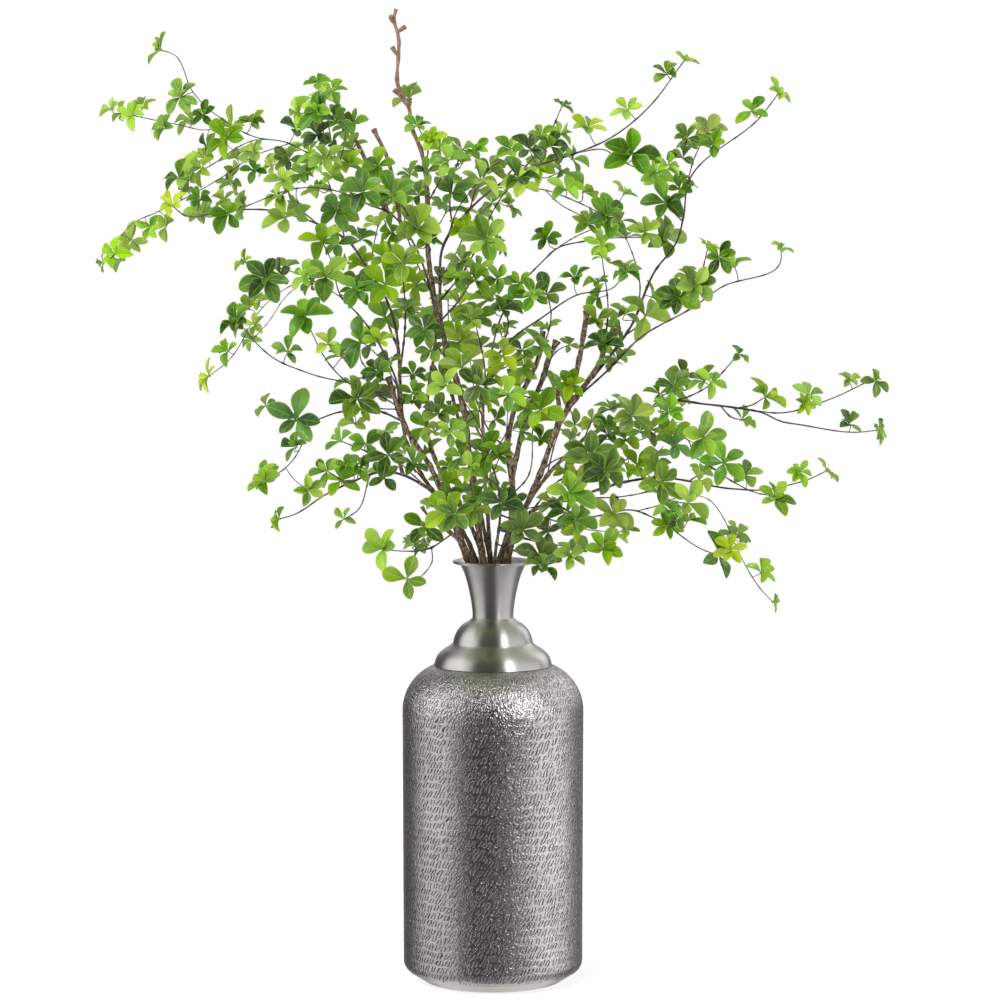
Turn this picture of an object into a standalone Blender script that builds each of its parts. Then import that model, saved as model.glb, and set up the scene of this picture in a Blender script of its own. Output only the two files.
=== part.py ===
"""Thirteen leafy cut branches standing in a tall hammered-metal vase.

Metres, +Z up. The origin is the middle of the vase's foot, on the surface that it stands on.
The front is -Y. The branches are drawn from the front, on a sheet, and every point of the drawing
also has a depth.
"""
import math
import random
from dataclasses import dataclass

import bmesh
import bpy
from mathutils import Vector

MM = 0.001
SEED = 20
SEED_STRIDE = 1009

# Vase, in millimetres
VASE_SIDES = 28
WALL = 2.0
GAP = 0.3
FOOT_HEIGHT = 13.7
FLOOR_THICKNESS = 3.0
HEEL_RADIUS = 16.5
HEEL_HEIGHT = 26.9
HEEL_OUT = 111.1
BELLY_RADIUS = 112.0
SHOULDER_RADIUS = 60.0
SHOULDER_HEIGHT = 340.0
BODY_MOUTH = 60.0

# Steps along the arcs of the body's outer side and of its inner side
HEEL_STEPS = (3, 2)
SHOULDER_STEPS = (6, 4)

# Bowl-shaped edge of the foot plate as (radius, height), from the table up
FOOT_OUTSIDE = ((80.0, 0.0), (84.5, 1.0), (95.5, 8.2), (100.5, 11.2), (102.8, FOOT_HEIGHT))

# Outer side of the neck as (radius, height), from its lower edge to just under the rim
NECK_OUTSIDE = (
    (73.4, 396.6), (71.9, 402.5), (68.8, 409.0), (62.9, 415.0), (50.0, 424.0),
    (47.8, 432.5), (44.2, 440.0), (37.3, 447.6), (25.3, 456.0),
    (26.6, 472.5), (30.3, 492.0), (34.1, 507.0), (39.4, 521.0),
)
# Rolled rim, from its outer side over the top
NECK_RIM = ((48.5, 523.8), (50.0, 525.4), (49.2, 527.0), (46.0, 526.6))
# Inner side, from just inside the rim down to the lower edge
NECK_INSIDE = (
    (37.0, 520.4), (32.0, 507.0), (28.2, 492.0), (24.5, 472.5),
    (23.0, 455.6), (35.8, 445.9), (42.4, 439.0), (45.9, 431.6), (47.8, 423.2),
    (61.3, 413.2), (69.8, 401.8), (71.2, 397.4),
)

# Colours and roughness
PEWTER = (0.33, 0.32, 0.33)
PEWTER_ROUGHNESS = 0.38
SATIN = (0.52, 0.52, 0.53)
SATIN_ROUGHNESS = 0.28
LEAF_GREEN = (0.13, 0.30, 0.05)
LEAF_ROUGHNESS = 0.5

# The drawing sheet: how it maps to real places
SHEET_CENTRE = 500.0
SHEET_FOCAL = 4050.0
VIEW_DISTANCE = 5.0
VIEW_SIDE = 0.00875
VIEW_HEIGHT = 1.022
VIEW_PITCH = math.radians(4.8)

# Stems inside the vase, in millimetres
THROAT_HEIGHT = 460.0
STEM_FOOT_HEIGHT = 19.0
STEM_SPREAD = 1.5
FLARE_HEIGHT = 493.0
FLARE_SPREAD = 1.14

# Leaves: lengths in millimetres, other sizes as shares of a leaf's length, angles in degrees
LEAF_LENGTH = {"large": 35.0, "leafy": 28.0, "small": 23.0}
LEAF_WIDTH = 0.56
LEAF_WIDEST = 0.62
LEAF_CUP = 0.06
LEAF_DROOP = 0.08
LEAF_LIFT = (8.0, 30.0)
LEAF_COUNTS = (4, 5, 5, 5, 6)
WHORL_VARIES = (0.9, 1.1)
LENGTH_VARIES = (0.85, 1.08)
WIDTH_VARIES = (0.88, 1.08)

# How a whorl faces: along its twig, leaning to the front, up, and a little to either side
STEM_PULL = 0.7
FRONT_LEAN = {"large": 0.9, "leafy": 0.35, "small": 0.25}
UP_LEAN = 0.45
SIDE_LEAN = 0.3
STEEPEST_LEAN = 0.5

# Wood, in millimetres, and as shares of the radius of the wood that it grows on
HUB_RADIUS = 1.9
HUB_RISE = 1.3
SPUR_RADIUS = 1.0
SPUR_DROP = 2.6
TWIG_END_RADIUS = 1.1
STOUT_RADIUS = 2.4
STOUT_SIDES = 5
THIN_SIDES = 3
KNOB_SWELL = 1.25
TWIG_SHARE = 0.85
SPUR_SHARE = 0.8
BEND_TOLERANCE = 1.5

# Where a whorl may sit: how far a spur reaches forward, other depths to try, and room to its neighbours
FORWARD = (4.0, 22.0)
FORWARD_LARGE = 24.0
DEPTH_TRIES = (0, -12, 12, -24, 24, -36, 36, -50, 50, -65, 65, -80, 80)
CLEARANCE = 0.9
OWN_CLEARANCE = 0.75

# Smallest distance between two points of the vase, in metres, and the angle of its sharp edges
WELD = 0.00001
SHARP = math.radians(40)


@dataclass
class Twig:
    """A shoot from the wood behind its first point: its route on the sheet, and its tip's depth in mm."""
    route: tuple
    depth: float
    tip: str = "leafy"
    spurs: tuple = ()
    large: tuple = ()
    thick: float = 1.5


@dataclass
class Branch:
    """One cut branch: where it passes the throat, its trunk as (across, down, depth), and its growth."""
    name: str
    throat: tuple
    thick: float
    thin: float
    trunk: tuple
    tip: str
    twigs: tuple
    spurs: tuple = ()
    large: tuple = ()


TALL_BRANCH = Branch(
    "tall_branch", (-6, -7), 5.0, 2.4,
    ((483, 560, -8), (477, 515, -14), (470, 460, -18), (462, 400, -14), (446, 345, -4), (434, 295, 6),
     (427, 240, 18), (427, 190, 28), (421, 150, 36), (411, 125, 40), (409, 108, 42), (400, 92, 44),
     (398, 62, 46), (398, 35, 48), (394, 19, 49), (396, 9, 50)),
    "cut",
    (
        Twig(((395, 22), (391, 16)), 42, "cut", thick=2.2),
        Twig(((398, 33), (405, 27)), 44, "cut", thick=2.4),
        Twig(((398, 54), (392, 47)), 42, "cut", thick=2.2),
        Twig(((402, 98), (394, 90)), 36, "cut", thick=2.6),
        Twig(((405, 103), (409, 98)), 85),
        Twig(((424, 165), (428, 152), (423, 141), (418, 126)), 10),
        Twig(((426, 202), (434, 190), (441, 178), (448, 161)), -60, "large", thick=1.8),
        Twig(((429, 255), (423, 241), (418, 228)), -80, "large"),
        Twig(((428, 235), (438, 225), (446, 212)), 90, "large"),
        Twig(((440, 320), (456, 300), (468, 283), (478, 268)), -120, thick=1.8),
        Twig(((462, 400), (452, 380), (440, 350), (424, 330)), -170, "large", large=((450, 325),),
             thick=1.8),
    ),
)

BROWN_BRANCH = Branch(
    "brown_branch", (-8, 5), 3.6, 1.2,
    ((483, 560, 8), (468, 520, 8), (450, 490, 6), (436, 462, 2), (428, 435, 0), (427, 405, 2),
     (431, 375, 2), (435, 345, 0), (435, 315, -10), (430, 288, -18), (423, 265, -22), (414, 244, -26),
     (398, 226, -30), (388, 212, -32), (370, 205, -36), (355, 197, -42), (344, 182, -48), (336, 160, -52),
     (331, 135, -56), (327, 110, -60), (324, 96, -64)),
    "leafy",
    (
        Twig(((398, 226), (396, 195), (388, 160), (374, 130)), 40, "cut", thick=3.4),
        Twig(((388, 212), (370, 170), (352, 132), (335, 98)), -10, "cut", thick=2.8),
        Twig(((404, 234), (399, 215), (392, 194)), -95, "large", thick=1.8),
        Twig(((381, 209), (385, 186), (378, 166)), -60, "large", thick=1.6),
        Twig(((388, 212), (375, 200), (363, 192)), -100, "large"),
        Twig(((345, 183), (332, 168), (327, 148), (322, 120), (318, 83)), -120, spurs=((299, 113),)),
        Twig(((338, 165), (343, 150), (346, 128)), 20),
        Twig(((336, 158), (315, 155), (285, 142), (255, 137), (222, 119), (204, 105), (193, 92), (182, 72),
             (173, 54), (161, 50)), -70, "small", spurs=((204, 115), (252, 122)), large=((227, 139),),
             thick=1.8),
        Twig(((228, 122), (212, 129), (175, 124), (150, 119), (122, 113)), 40, "small",
             spurs=((165, 128),)),
        Twig(((270, 139), (255, 140), (240, 146), (210, 166), (191, 176)), -130, "large"),
        Twig(((290, 144), (250, 158), (230, 172), (203, 187), (180, 199), (155, 213), (135, 222),
             (117, 241), (103, 262)), 60, "small", spurs=((150, 226),), thick=1.7),
        Twig(((360, 200), (340, 192), (320, 188), (300, 188), (270, 197), (246, 206)), -160),
    ),
)

UPPER_LEFT_BRANCH = Branch(
    "upper_left_branch", (-11.5, 14), 3.4, 1.2,
    ((476, 560, 18), (459, 525, 24), (438, 498, 30), (419, 470, 34), (406, 440, 36), (401, 400, 36),
     (399, 360, 34), (396, 330, 28), (390, 308, 22), (378, 288, 14), (364, 263, 4), (350, 243, -4),
     (336, 234, -10), (320, 225, -14), (298, 217, -20), (275, 211, -24), (230, 210, -30), (200, 213, -34),
     (182, 214, -36), (173, 206, -34)),
    "leafy",
    (
        Twig(((345, 239), (339, 220), (334, 200), (324, 175), (308, 164)), 90),
        Twig(((318, 224), (305, 197), (295, 178), (286, 158)), 60),
        Twig(((378, 288), (370, 272), (362, 262), (348, 263)), 120),
        Twig(((401, 392), (385, 365), (372, 350), (362, 342)), 170, "large"),
        Twig(((400, 372), (404, 340), (404, 300), (402, 262)), -60, "large", spurs=((385, 318),),
             thick=2.0),
        Twig(((399, 350), (380, 300), (372, 260), (378, 225)), 230, large=((385, 285),), thick=2.0),
    ),
    spurs=((285, 218),),
    large=((229, 213), (337, 211)),
)

LEFT_BRANCH = Branch(
    "left_branch", (-16.5, -6), 4.2, 3.4,
    ((469, 560, -10), (460, 535, -18), (450, 512, -24), (441, 490, -30), (431, 468, -34), (418, 448, -38),
     (406, 428, -42), (398, 405, -46), (392, 391, -48), (388, 377, -50)),
    "cut",
    (
        Twig(((400, 412), (396, 380), (386, 357), (372, 332), (356, 312), (342, 298), (338, 280),
             (331, 260), (322, 241)), -70, "large", large=((326, 277),), thick=2.0),
        Twig(((342, 298), (325, 287), (305, 277), (290, 271), (272, 268), (245, 262)), -110, "small",
             large=((266, 279),)),
        Twig(((312, 281), (297, 283), (282, 291), (266, 304), (256, 320), (246, 333), (235, 349),
             (225, 364), (209, 376)), -60),
        Twig(((300, 282), (283, 300), (270, 320), (252, 340)), 10),
        Twig(((398, 405), (370, 390), (340, 381), (308, 373), (290, 366), (272, 357), (258, 345),
             (241, 325)), -150, "small", spurs=((288, 352),)),
        Twig(((392, 391), (372, 392), (350, 384), (330, 365), (313, 335), (305, 316)), -100, "large"),
        Twig(((390, 384), (372, 370), (361, 360), (360, 342)), -90, "large"),
        Twig(((403, 421), (385, 413), (370, 409), (355, 410), (340, 412), (320, 417), (303, 422),
             (285, 418), (266, 406)), -60, "small", large=((297, 419),), thick=2.0),
        Twig(((400, 410), (378, 408), (357, 399)), -110, "large"),
        Twig(((312, 420), (304, 440), (293, 460), (280, 472), (267, 477)), -120),
    ),
)

LEFT_LOW_BRANCH = Branch(
    "left_low_branch", (-18, 4), 3.3, 1.2,
    ((466, 560, 4), (454, 530, 8), (443, 506, 10), (430, 490, 12), (416, 481, 14), (403, 475, 14),
     (390, 472, 12), (378, 475, 8), (364, 480, 2), (345, 485, -6), (325, 495, -14), (308, 506, -20),
     (293, 515, -24), (279, 519, -26)),
    "small",
    (
        Twig(((402, 475), (400, 460), (397, 446)), 0, "cut", thick=2.6),
        Twig(((392, 472), (376, 464), (360, 454), (341, 441)), -60, "small"),
        Twig(((372, 477), (368, 482), (357, 511), (344, 519)), 70, "small"),
        Twig(((364, 480), (345, 474), (327, 471)), -90, "large"),
        Twig(((425, 487), (408, 470), (392, 452), (384, 437)), 150),
        Twig(((436, 497), (415, 470), (400, 455), (388, 455)), -120, "large", large=((384, 478),)),
    ),
)

LOW_LEFT_BRANCH = Branch(
    "low_left_branch", (-9.5, -15.5), 3.3, 2.4,
    ((473, 560, -22), (464, 546, -36), (452, 534, -52), (440, 526, -62), (430, 518, -70), (422, 507, -76)),
    "cut",
    (
        Twig(((452, 534), (440, 541), (428, 549), (400, 551), (383, 549)), -90, "large"),
        Twig(((430, 548), (432, 562), (420, 577), (407, 579)), -110, "large"),
        Twig(((447, 531), (436, 524), (425, 527)), -130, "large"),
        Twig(((458, 540), (454, 524), (448, 512)), -140, "large"),
    ),
)

FRONT_BRANCH = Branch(
    "front_branch", (2, -18), 3.2, 1.3,
    ((495, 560, -30), (497, 535, -54), (500, 512, -78), (498, 485, -96), (488, 455, -116)),
    "large",
    (
        Twig(((498, 528), (510, 532), (522, 530)), -120, "large"),
        Twig(((500, 512), (502, 506), (501, 503)), -125, "large"),
        Twig(((496, 545), (512, 548), (528, 552), (540, 556)), -90, "large"),
        Twig(((500, 515), (530, 525), (560, 526), (575, 520)), -120, "large", thick=1.8),
        Twig(((497, 530), (530, 540), (560, 543), (590, 547), (603, 550)), -80, "large", thick=1.8),
        Twig(((500, 508), (530, 508), (555, 502), (569, 493)), -160, "large"),
        Twig(((498, 485), (480, 472), (461, 457)), -150, "large"),
        Twig(((490, 465), (470, 445), (450, 430), (438, 414)), -165, "large", thick=1.7),
        Twig(((494, 470), (505, 440), (508, 395)), -175, "large", thick=1.7),
        Twig(((490, 462), (476, 420), (458, 395), (446, 385)), -210, "large", large=((478, 385),),
             thick=1.7),
    ),
)

STUB_BRANCH = Branch(
    "stub_branch", (6, -3), 4.4, 3.2,
    ((500, 560, -4), (509, 530, -4), (513, 500, -2), (511, 470, 0), (508, 443, 2), (512, 418, 4),
     (521, 394, 6), (532, 368, 8), (541, 348, 8), (543, 331, 8)),
    "cut",
    (
        Twig(((512, 480), (519, 445), (527, 415), (536, 393), (544, 375), (550, 355), (557, 341)), 40,
             "cut", thick=3.2),
        Twig(((512, 495), (526, 480), (530, 455), (533, 425)), 60, "large"),
        Twig(((540, 350), (549, 330), (551, 312), (547, 294)), -100, "large"),
        Twig(((521, 394), (531, 398), (540, 410)), -60, "large"),
        Twig(((532, 368), (522, 358), (512, 345)), 60),
        Twig(((547, 365), (558, 350), (569, 345)), 70, "small"),
        Twig(((526, 405), (538, 392), (553, 388)), 80, "large"),
        Twig(((509, 450), (490, 432), (478, 405), (470, 360)), 130, large=((455, 355),), thick=1.8),
    ),
)

RIGHT_TRUNK = Branch(
    "right_trunk", (14.5, -8), 4.6, 3.4,
    ((506, 560, -12), (516, 530, -18), (529, 499, -26), (541, 472, -30), (549, 449, -32), (557, 428, -32),
     (566, 412, -32), (576, 397, -30), (590, 378, -28), (600, 362, -24), (606, 344, -22), (618, 330, -20)),
    "cut",
    (
        Twig(((566, 412), (573, 385), (580, 355), (584, 332), (587, 312)), 10, "cut", thick=3.2),
        Twig(((556, 430), (559, 410), (557, 392)), -60, "cut", thick=2.6),
        Twig(((582, 389), (607, 360), (630, 328), (638, 310), (647, 288), (655, 271), (668, 253),
             (677, 241), (684, 213), (687, 187), (695, 178), (712, 163), (735, 140), (763, 114), (778, 94)),
             70, spurs=((752, 111),), thick=2.2),
        Twig(((687, 187), (692, 165), (706, 133)), -20, "large"),
        Twig(((684, 213), (679, 195), (680, 180)), 100, "large"),
        Twig(((682, 222), (672, 212), (666, 203)), 0, "large"),
        Twig(((574, 400), (606, 372), (640, 338), (671, 319), (695, 306), (720, 288), (760, 269),
             (781, 260), (781, 248)), -90, "small", spurs=((734, 266),), large=((679, 298),), thick=2.0),
        Twig(((690, 308), (698, 285), (705, 260), (708, 247)), -60, "small", large=((695, 286),)),
        Twig(((638, 312), (640, 285), (634, 258), (626, 238)), 130),
        Twig(((606, 350), (608, 312), (605, 285), (602, 257)), 20, "small"),
        Twig(((625, 335), (636, 325), (645, 316)), -30, "large", spurs=((612, 327),)),
        Twig(((618, 345), (622, 352), (617, 358)), 60),
        Twig(((541, 472), (552, 462), (566, 456), (590, 456)), -110, "large", large=((604, 472),)),
    ),
)

RIGHT_BRANCH = Branch(
    "right_branch", (18, 3), 3.5, 1.2,
    ((509, 560, 8), (519, 525, 14), (529, 502, 18), (547, 476, 24), (569, 453, 26), (584, 439, 24),
     (608, 425, 20), (630, 415, 14), (652, 407, 8), (676, 401, 2), (704, 404, -6), (737, 408, -12),
     (763, 413, -18), (780, 421, -22), (802, 425, -26), (839, 430, -30), (862, 432, -32), (878, 430, -34)),
    "small",
    (
        Twig(((755, 411), (778, 413), (804, 406), (828, 400), (857, 386), (873, 379)), 60, "small",
             spurs=((809, 396),)),
        Twig(((737, 408), (752, 405), (765, 397)), -60),
        Twig(((670, 402), (690, 396), (704, 389), (720, 374), (738, 355)), -60, "small",
             spurs=((704, 381),)),
        Twig(((608, 425), (625, 428), (643, 433), (674, 448), (711, 467), (735, 483), (757, 493),
             (774, 496)), -90, large=((724, 463), (703, 438)), thick=1.8),
        Twig(((622, 418), (628, 414), (632, 416)), -60, "large"),
        Twig(((584, 439), (600, 425), (612, 412), (622, 404)), 110),
        Twig(((720, 406), (730, 412), (742, 420)), 30),
        Twig(((652, 407), (662, 396), (674, 391)), 70, "large"),
        Twig(((690, 457), (688, 440), (674, 434)), -30, "large"),
        Twig(((569, 453), (600, 440), (640, 440), (668, 425)), 170),
        Twig(((547, 476), (556, 440), (570, 410), (575, 425)), 120),
    ),
)

RIGHT_LOW_BRANCH = Branch(
    "right_low_branch", (12, 13), 3.3, 1.2,
    ((504, 560, 22), (514, 532, 36), (530, 513, 50), (552, 502, 60), (575, 498, 66), (600, 489, 66),
     (625, 482, 62), (650, 478, 56), (680, 481, 50), (702, 485, 44), (735, 489, 36), (763, 490, 30),
     (789, 485, 26), (812, 478, 24), (826, 471, 24)),
    "small",
    (
        Twig(((575, 500), (600, 498), (626, 496), (645, 492), (661, 482)), -60, "large", thick=1.7),
        Twig(((552, 504), (580, 516), (605, 513), (637, 511), (656, 519), (683, 536), (706, 551),
             (718, 555)), -30, "large", large=((613, 514),), thick=1.8),
        Twig(((637, 511), (655, 506), (672, 503), (688, 503)), -80, "large"),
        Twig(((655, 506), (690, 495), (706, 498), (724, 519), (731, 535), (741, 552), (757, 580),
             (765, 594), (773, 602)), 30, "small", spurs=((761, 573),), large=((734, 538),), thick=1.6),
        Twig(((600, 489), (615, 470), (628, 458)), 120),
        Twig(((690, 483), (696, 478), (700, 474)), 110),
        Twig(((530, 513), (560, 480), (590, 470), (612, 455)), 220, thick=1.7),
        Twig(((530, 514), (560, 522), (590, 530), (610, 532)), 180),
        Twig(((514, 532), (506, 500), (490, 470), (485, 440)), 170, thick=1.7),
    ),
)

CENTRE_BRANCH = Branch(
    "centre_branch", (3, 7.5), 3.6, 1.2,
    ((491, 560, 6), (488, 520, 0), (485, 480, -10), (483, 440, -20), (484, 405, -26), (486, 384, -28),
     (491, 367, -28), (500, 352, -30), (513, 338, -30), (527, 328, -30), (540, 319, -28), (556, 308, -24),
     (577, 295, -16), (599, 290, -10), (614, 287, -6), (626, 272, -4)),
    "leafy",
    (
        Twig(((487, 378), (492, 350), (500, 320), (513, 295), (530, 275), (543, 261), (556, 249),
             (586, 241), (621, 240), (662, 237)), 60, "large", spurs=((547, 238),), thick=1.8),
        Twig(((552, 253), (565, 243), (582, 234), (600, 226)), 110, "large"),
        Twig(((486, 384), (484, 362), (478, 340), (474, 318)), -70, "large"),
        Twig(((488, 374), (506, 367), (520, 359), (540, 347)), -60),
        Twig(((502, 350), (508, 320), (500, 303), (490, 300)), -80, "large"),
        Twig(((483, 400), (474, 380), (462, 368)), -80, "large"),
        Twig(((485, 470), (500, 440), (512, 420), (520, 385)), 200, thick=1.7),
        Twig(((483, 440), (462, 400), (450, 350), (448, 300)), 220, "large", large=((430, 330),),
             thick=1.8),
    ),
)

UPPER_RIGHT_BRANCH = Branch(
    "upper_right_branch", (1, 18), 3.4, 1.2,
    ((490, 560, 28), (482, 520, 36), (474, 475, 42), (462, 430, 46), (450, 385, 48), (444, 345, 46),
     (442, 310, 42), (440, 280, 40), (442, 250, 40), (455, 230, 38), (470, 209, 36), (486, 195, 34),
     (500, 184, 30), (524, 170, 24), (545, 164, 16), (562, 158, 8), (587, 149, 0), (605, 141, -8),
     (628, 126, -16), (648, 108, -22), (665, 85, -26), (684, 61, -30)),
    "small",
    (
        Twig(((578, 152), (605, 150), (620, 160), (652, 174)), -60, large=((632, 154),)),
        Twig(((494, 188), (511, 189), (530, 188), (545, 190), (575, 201), (606, 216)), -70, "large"),
        Twig(((545, 190), (560, 200), (572, 208), (590, 220)), 60),
        Twig(((441, 300), (461, 275), (470, 258), (482, 238), (497, 208), (507, 190), (518, 178)), -90,
             "large", large=((486, 240),), thick=1.7),
        Twig(((520, 172), (530, 163), (538, 154), (550, 146)), -70, "large"),
        Twig(((540, 163), (550, 140), (556, 120), (562, 106)), 50, "small", spurs=((588, 128),)),
        Twig(((450, 238), (463, 201), (480, 180)), -60, "large"),
        Twig(((470, 209), (478, 190), (490, 168)), -10, "large"),
        Twig(((455, 230), (450, 190), (462, 150)), 140, large=((440, 150),), thick=1.7),
        Twig(((500, 184), (520, 165), (545, 178), (560, 172)), 140, large=((523, 182),)),
        Twig(((440, 280), (455, 255), (470, 225), (492, 203)), 180, large=((462, 230),), thick=1.7),
        Twig(((442, 310), (420, 270), (405, 225), (410, 175)), 200, large=((412, 215),), thick=1.8),
    ),
    spurs=((628, 110),),
)

BRANCHES = (
    TALL_BRANCH, BROWN_BRANCH, UPPER_LEFT_BRANCH, LEFT_BRANCH, LEFT_LOW_BRANCH, LOW_LEFT_BRANCH,
    FRONT_BRANCH, STUB_BRANCH, RIGHT_TRUNK, RIGHT_BRANCH, RIGHT_LOW_BRANCH, CENTRE_BRANCH,
    UPPER_RIGHT_BRANCH,
)


@dataclass
class Stick:
    """A laid-out length of wood: its points in space, its radius along them, and what its tip holds."""
    sheet: list
    points: list
    radii: list
    tip: str


def place(across, down, depth):
    """The point in space that shows at (across, down) on the sheet, depth millimetres behind the axis."""
    right = (across - SHEET_CENTRE) / SHEET_FOCAL
    rise = (SHEET_CENTRE - down) / SHEET_FOCAL
    ahead = math.cos(VIEW_PITCH) + rise * math.sin(VIEW_PITCH)
    climb = rise * math.cos(VIEW_PITCH) - math.sin(VIEW_PITCH)
    reach = (depth * MM + VIEW_DISTANCE) / ahead
    return Vector((VIEW_SIDE + right * reach, depth * MM, VIEW_HEIGHT + climb * reach))


def draws_at(across, down):
    """The random draws of the whorl at a place of the sheet: the same ones whatever else is built."""
    return random.Random(SEED + round(across) * SEED_STRIDE + round(down))


def bends(points, first, last):
    """The points between two others that a straight run would miss by more than the tolerance."""
    run = points[last] - points[first]
    worst, away = None, BEND_TOLERANCE * MM
    for i in range(first + 1, last):
        share = (points[i] - points[first]).dot(run) / run.length_squared
        miss = (points[first] + run * share - points[i]).length
        if miss > away:
            worst, away = i, miss
    if worst is None:
        return []
    return bends(points, first, worst) + [worst] + bends(points, worst, last)


def at_bends(drawn):
    """A drawn route without the points that hardly bend it."""
    points = [place(*point) for point in drawn]
    last = len(points) - 1
    return [drawn[i] for i in [0] + bends(points, 0, last) + [last]]


def taper(points, start, end):
    """Radii in metres that shrink evenly along the points."""
    lengths = [0.0]
    for before, after in zip(points, points[1:]):
        lengths.append(lengths[-1] + (after - before).length)
    return [(start + (end - start) * length / lengths[-1]) * MM for length in lengths]


def lay_trunk(branch):
    """The trunk from just above the vase's floor, through the throat, to its end."""
    throat = Vector((branch.throat[0] * MM, branch.throat[1] * MM, THROAT_HEIGHT * MM))
    foot = Vector((throat.x * STEM_SPREAD, throat.y * STEM_SPREAD, STEM_FOOT_HEIGHT * MM))
    flare = Vector((throat.x * FLARE_SPREAD, throat.y * FLARE_SPREAD, FLARE_HEIGHT * MM))
    drawn = at_bends(branch.trunk)
    points = [foot, throat, flare] + [place(*point) for point in drawn]
    above = taper(points[1:], branch.thick, branch.thin)
    radii = [branch.thick * MM] + above
    sheet = [None, None, None] + drawn
    return Stick(sheet, points, radii, branch.tip)


def nearest(sticks, across, down):
    """The depth and radius of the drawn wood that passes nearest to a point of the sheet, and its place."""
    best = None
    for stick in sticks:
        for i in range(len(stick.sheet) - 1):
            if stick.sheet[i] is None:
                continue
            ax, ay, az = stick.sheet[i]
            bx, by, bz = stick.sheet[i + 1]
            run = (bx - ax) ** 2 + (by - ay) ** 2
            share = min(1.0, max(0.0, ((across - ax) * (bx - ax) + (down - ay) * (by - ay)) / run))
            x, y = ax + share * (bx - ax), ay + share * (by - ay)
            away = math.hypot(across - x, down - y)
            if best is None or away < best[0]:
                radius = stick.radii[i] + share * (stick.radii[i + 1] - stick.radii[i])
                best = (away, x, y, az + share * (bz - az), radius)
    return best[1:]


def lay_twig(twig, sticks):
    """A twig from the middle of the wood that it grows on, running evenly to its tip's depth."""
    x, y, depth, radius = nearest(sticks, *twig.route[0])
    route = [(x, y)] + list(twig.route[1:])
    lengths = [0.0]
    for before, after in zip(route, route[1:]):
        lengths.append(lengths[-1] + math.dist(before, after))
    shares = [length / lengths[-1] for length in lengths]
    drawn = [(px, py, depth + (twig.depth - depth) * share) for (px, py), share in zip(route, shares)]
    sheet = at_bends(drawn)
    points = [place(*point) for point in sheet]
    thick = min(twig.thick, radius / MM * TWIG_SHARE)
    end = thick if twig.tip == "cut" else TWIG_END_RADIUS
    return Stick(sheet, points, taper(points, thick, min(thick, end)), twig.tip)


class Crowd:
    """Remembers where wood and whorls already are, so that no branch's whorl grows into another branch."""

    def __init__(self):
        self.wood = []
        self.whorls = []

    def add_stick(self, owner, stick):
        for i in range(len(stick.points) - 1):
            self.wood.append((owner, stick.points[i], stick.points[i + 1], stick.radii[i]))

    def is_clear(self, owner, centre, radius):
        for other, middle, reach in self.whorls:
            room = CLEARANCE if other != owner else OWN_CLEARANCE
            if (middle - centre).length < (radius + reach) * room:
                return False
        for other, start, end, thickness in self.wood:
            if other == owner:
                continue
            run = end - start
            share = min(1.0, max(0.0, (centre - start).dot(run) / run.length_squared))
            if (start + run * share - centre).length < radius * CLEARANCE + thickness:
                return False
        return True

    def claim(self, owner, across, down, depth, radius):
        """The first free depth near the wanted one, or None."""
        for shift in DEPTH_TRIES:
            centre = place(across, down, depth + shift)
            if self.is_clear(owner, centre, radius):
                self.whorls.append((owner, centre, radius))
                return depth + shift
        return None


def steady_side(points):
    """The axis that lies most nearly square to every stretch of a route."""
    axes = (Vector((1, 0, 0)), Vector((0, 1, 0)), Vector((0, 0, 1)))
    runs = [(after - before).normalized() for before, after in zip(points, points[1:])]
    return min(axes, key=lambda axis: max(abs(run.dot(axis)) for run in runs))


def ring_of(mesh, centre, along, side, radius, count, turn=0.0):
    """A ring of points round a centre, square to along."""
    first = (side - along * side.dot(along)).normalized()
    second = along.cross(first)
    ring = []
    for i in range(count):
        angle = turn + math.tau * i / count
        ring.append(mesh.verts.new(centre + radius * (math.cos(angle) * first + math.sin(angle) * second)))
    return ring


def join_rings(mesh, lower, upper):
    """Quads between two rings of as many points."""
    for i, corner in enumerate(lower):
        j = (i + 1) % len(lower)
        mesh.faces.new((corner, lower[j], upper[j], upper[i]))


def headings(points):
    """The direction of a route at each of its points."""
    runs = [(after - before).normalized() for before, after in zip(points, points[1:])]
    inner = [(a + b).normalized() for a, b in zip(runs, runs[1:])]
    return [runs[0]] + inner + [runs[-1]]


def grow_leaf(mesh, centre, hub_top, stem_point, first, second, out, up, length, dice):
    """One obovate leaf between two notches of a hub: a blade that is thickest along its rib."""
    lift = math.radians(dice.uniform(*LEAF_LIFT))
    along = (out * math.cos(lift) + up * math.sin(lift)).normalized()
    face = (up * math.cos(lift) - out * math.sin(lift)).normalized()
    side = along.cross(face)
    half = length * LEAF_WIDTH * dice.uniform(*WIDTH_VARIES) / 2
    rim = centre + along * length * LEAF_WIDEST + face * length * LEAF_CUP
    left = mesh.verts.new(rim - side * half)
    right = mesh.verts.new(rim + side * half)
    tip = mesh.verts.new(centre + along * length - face * length * LEAF_DROOP)
    if (first.co - centre).dot(side) > (second.co - centre).dot(side):
        left, right = right, left
    outline = (first, left, tip, right, second)
    for root in (hub_top, stem_point):
        for before, after in zip(outline, outline[1:]):
            mesh.faces.new((root, before, after))


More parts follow.
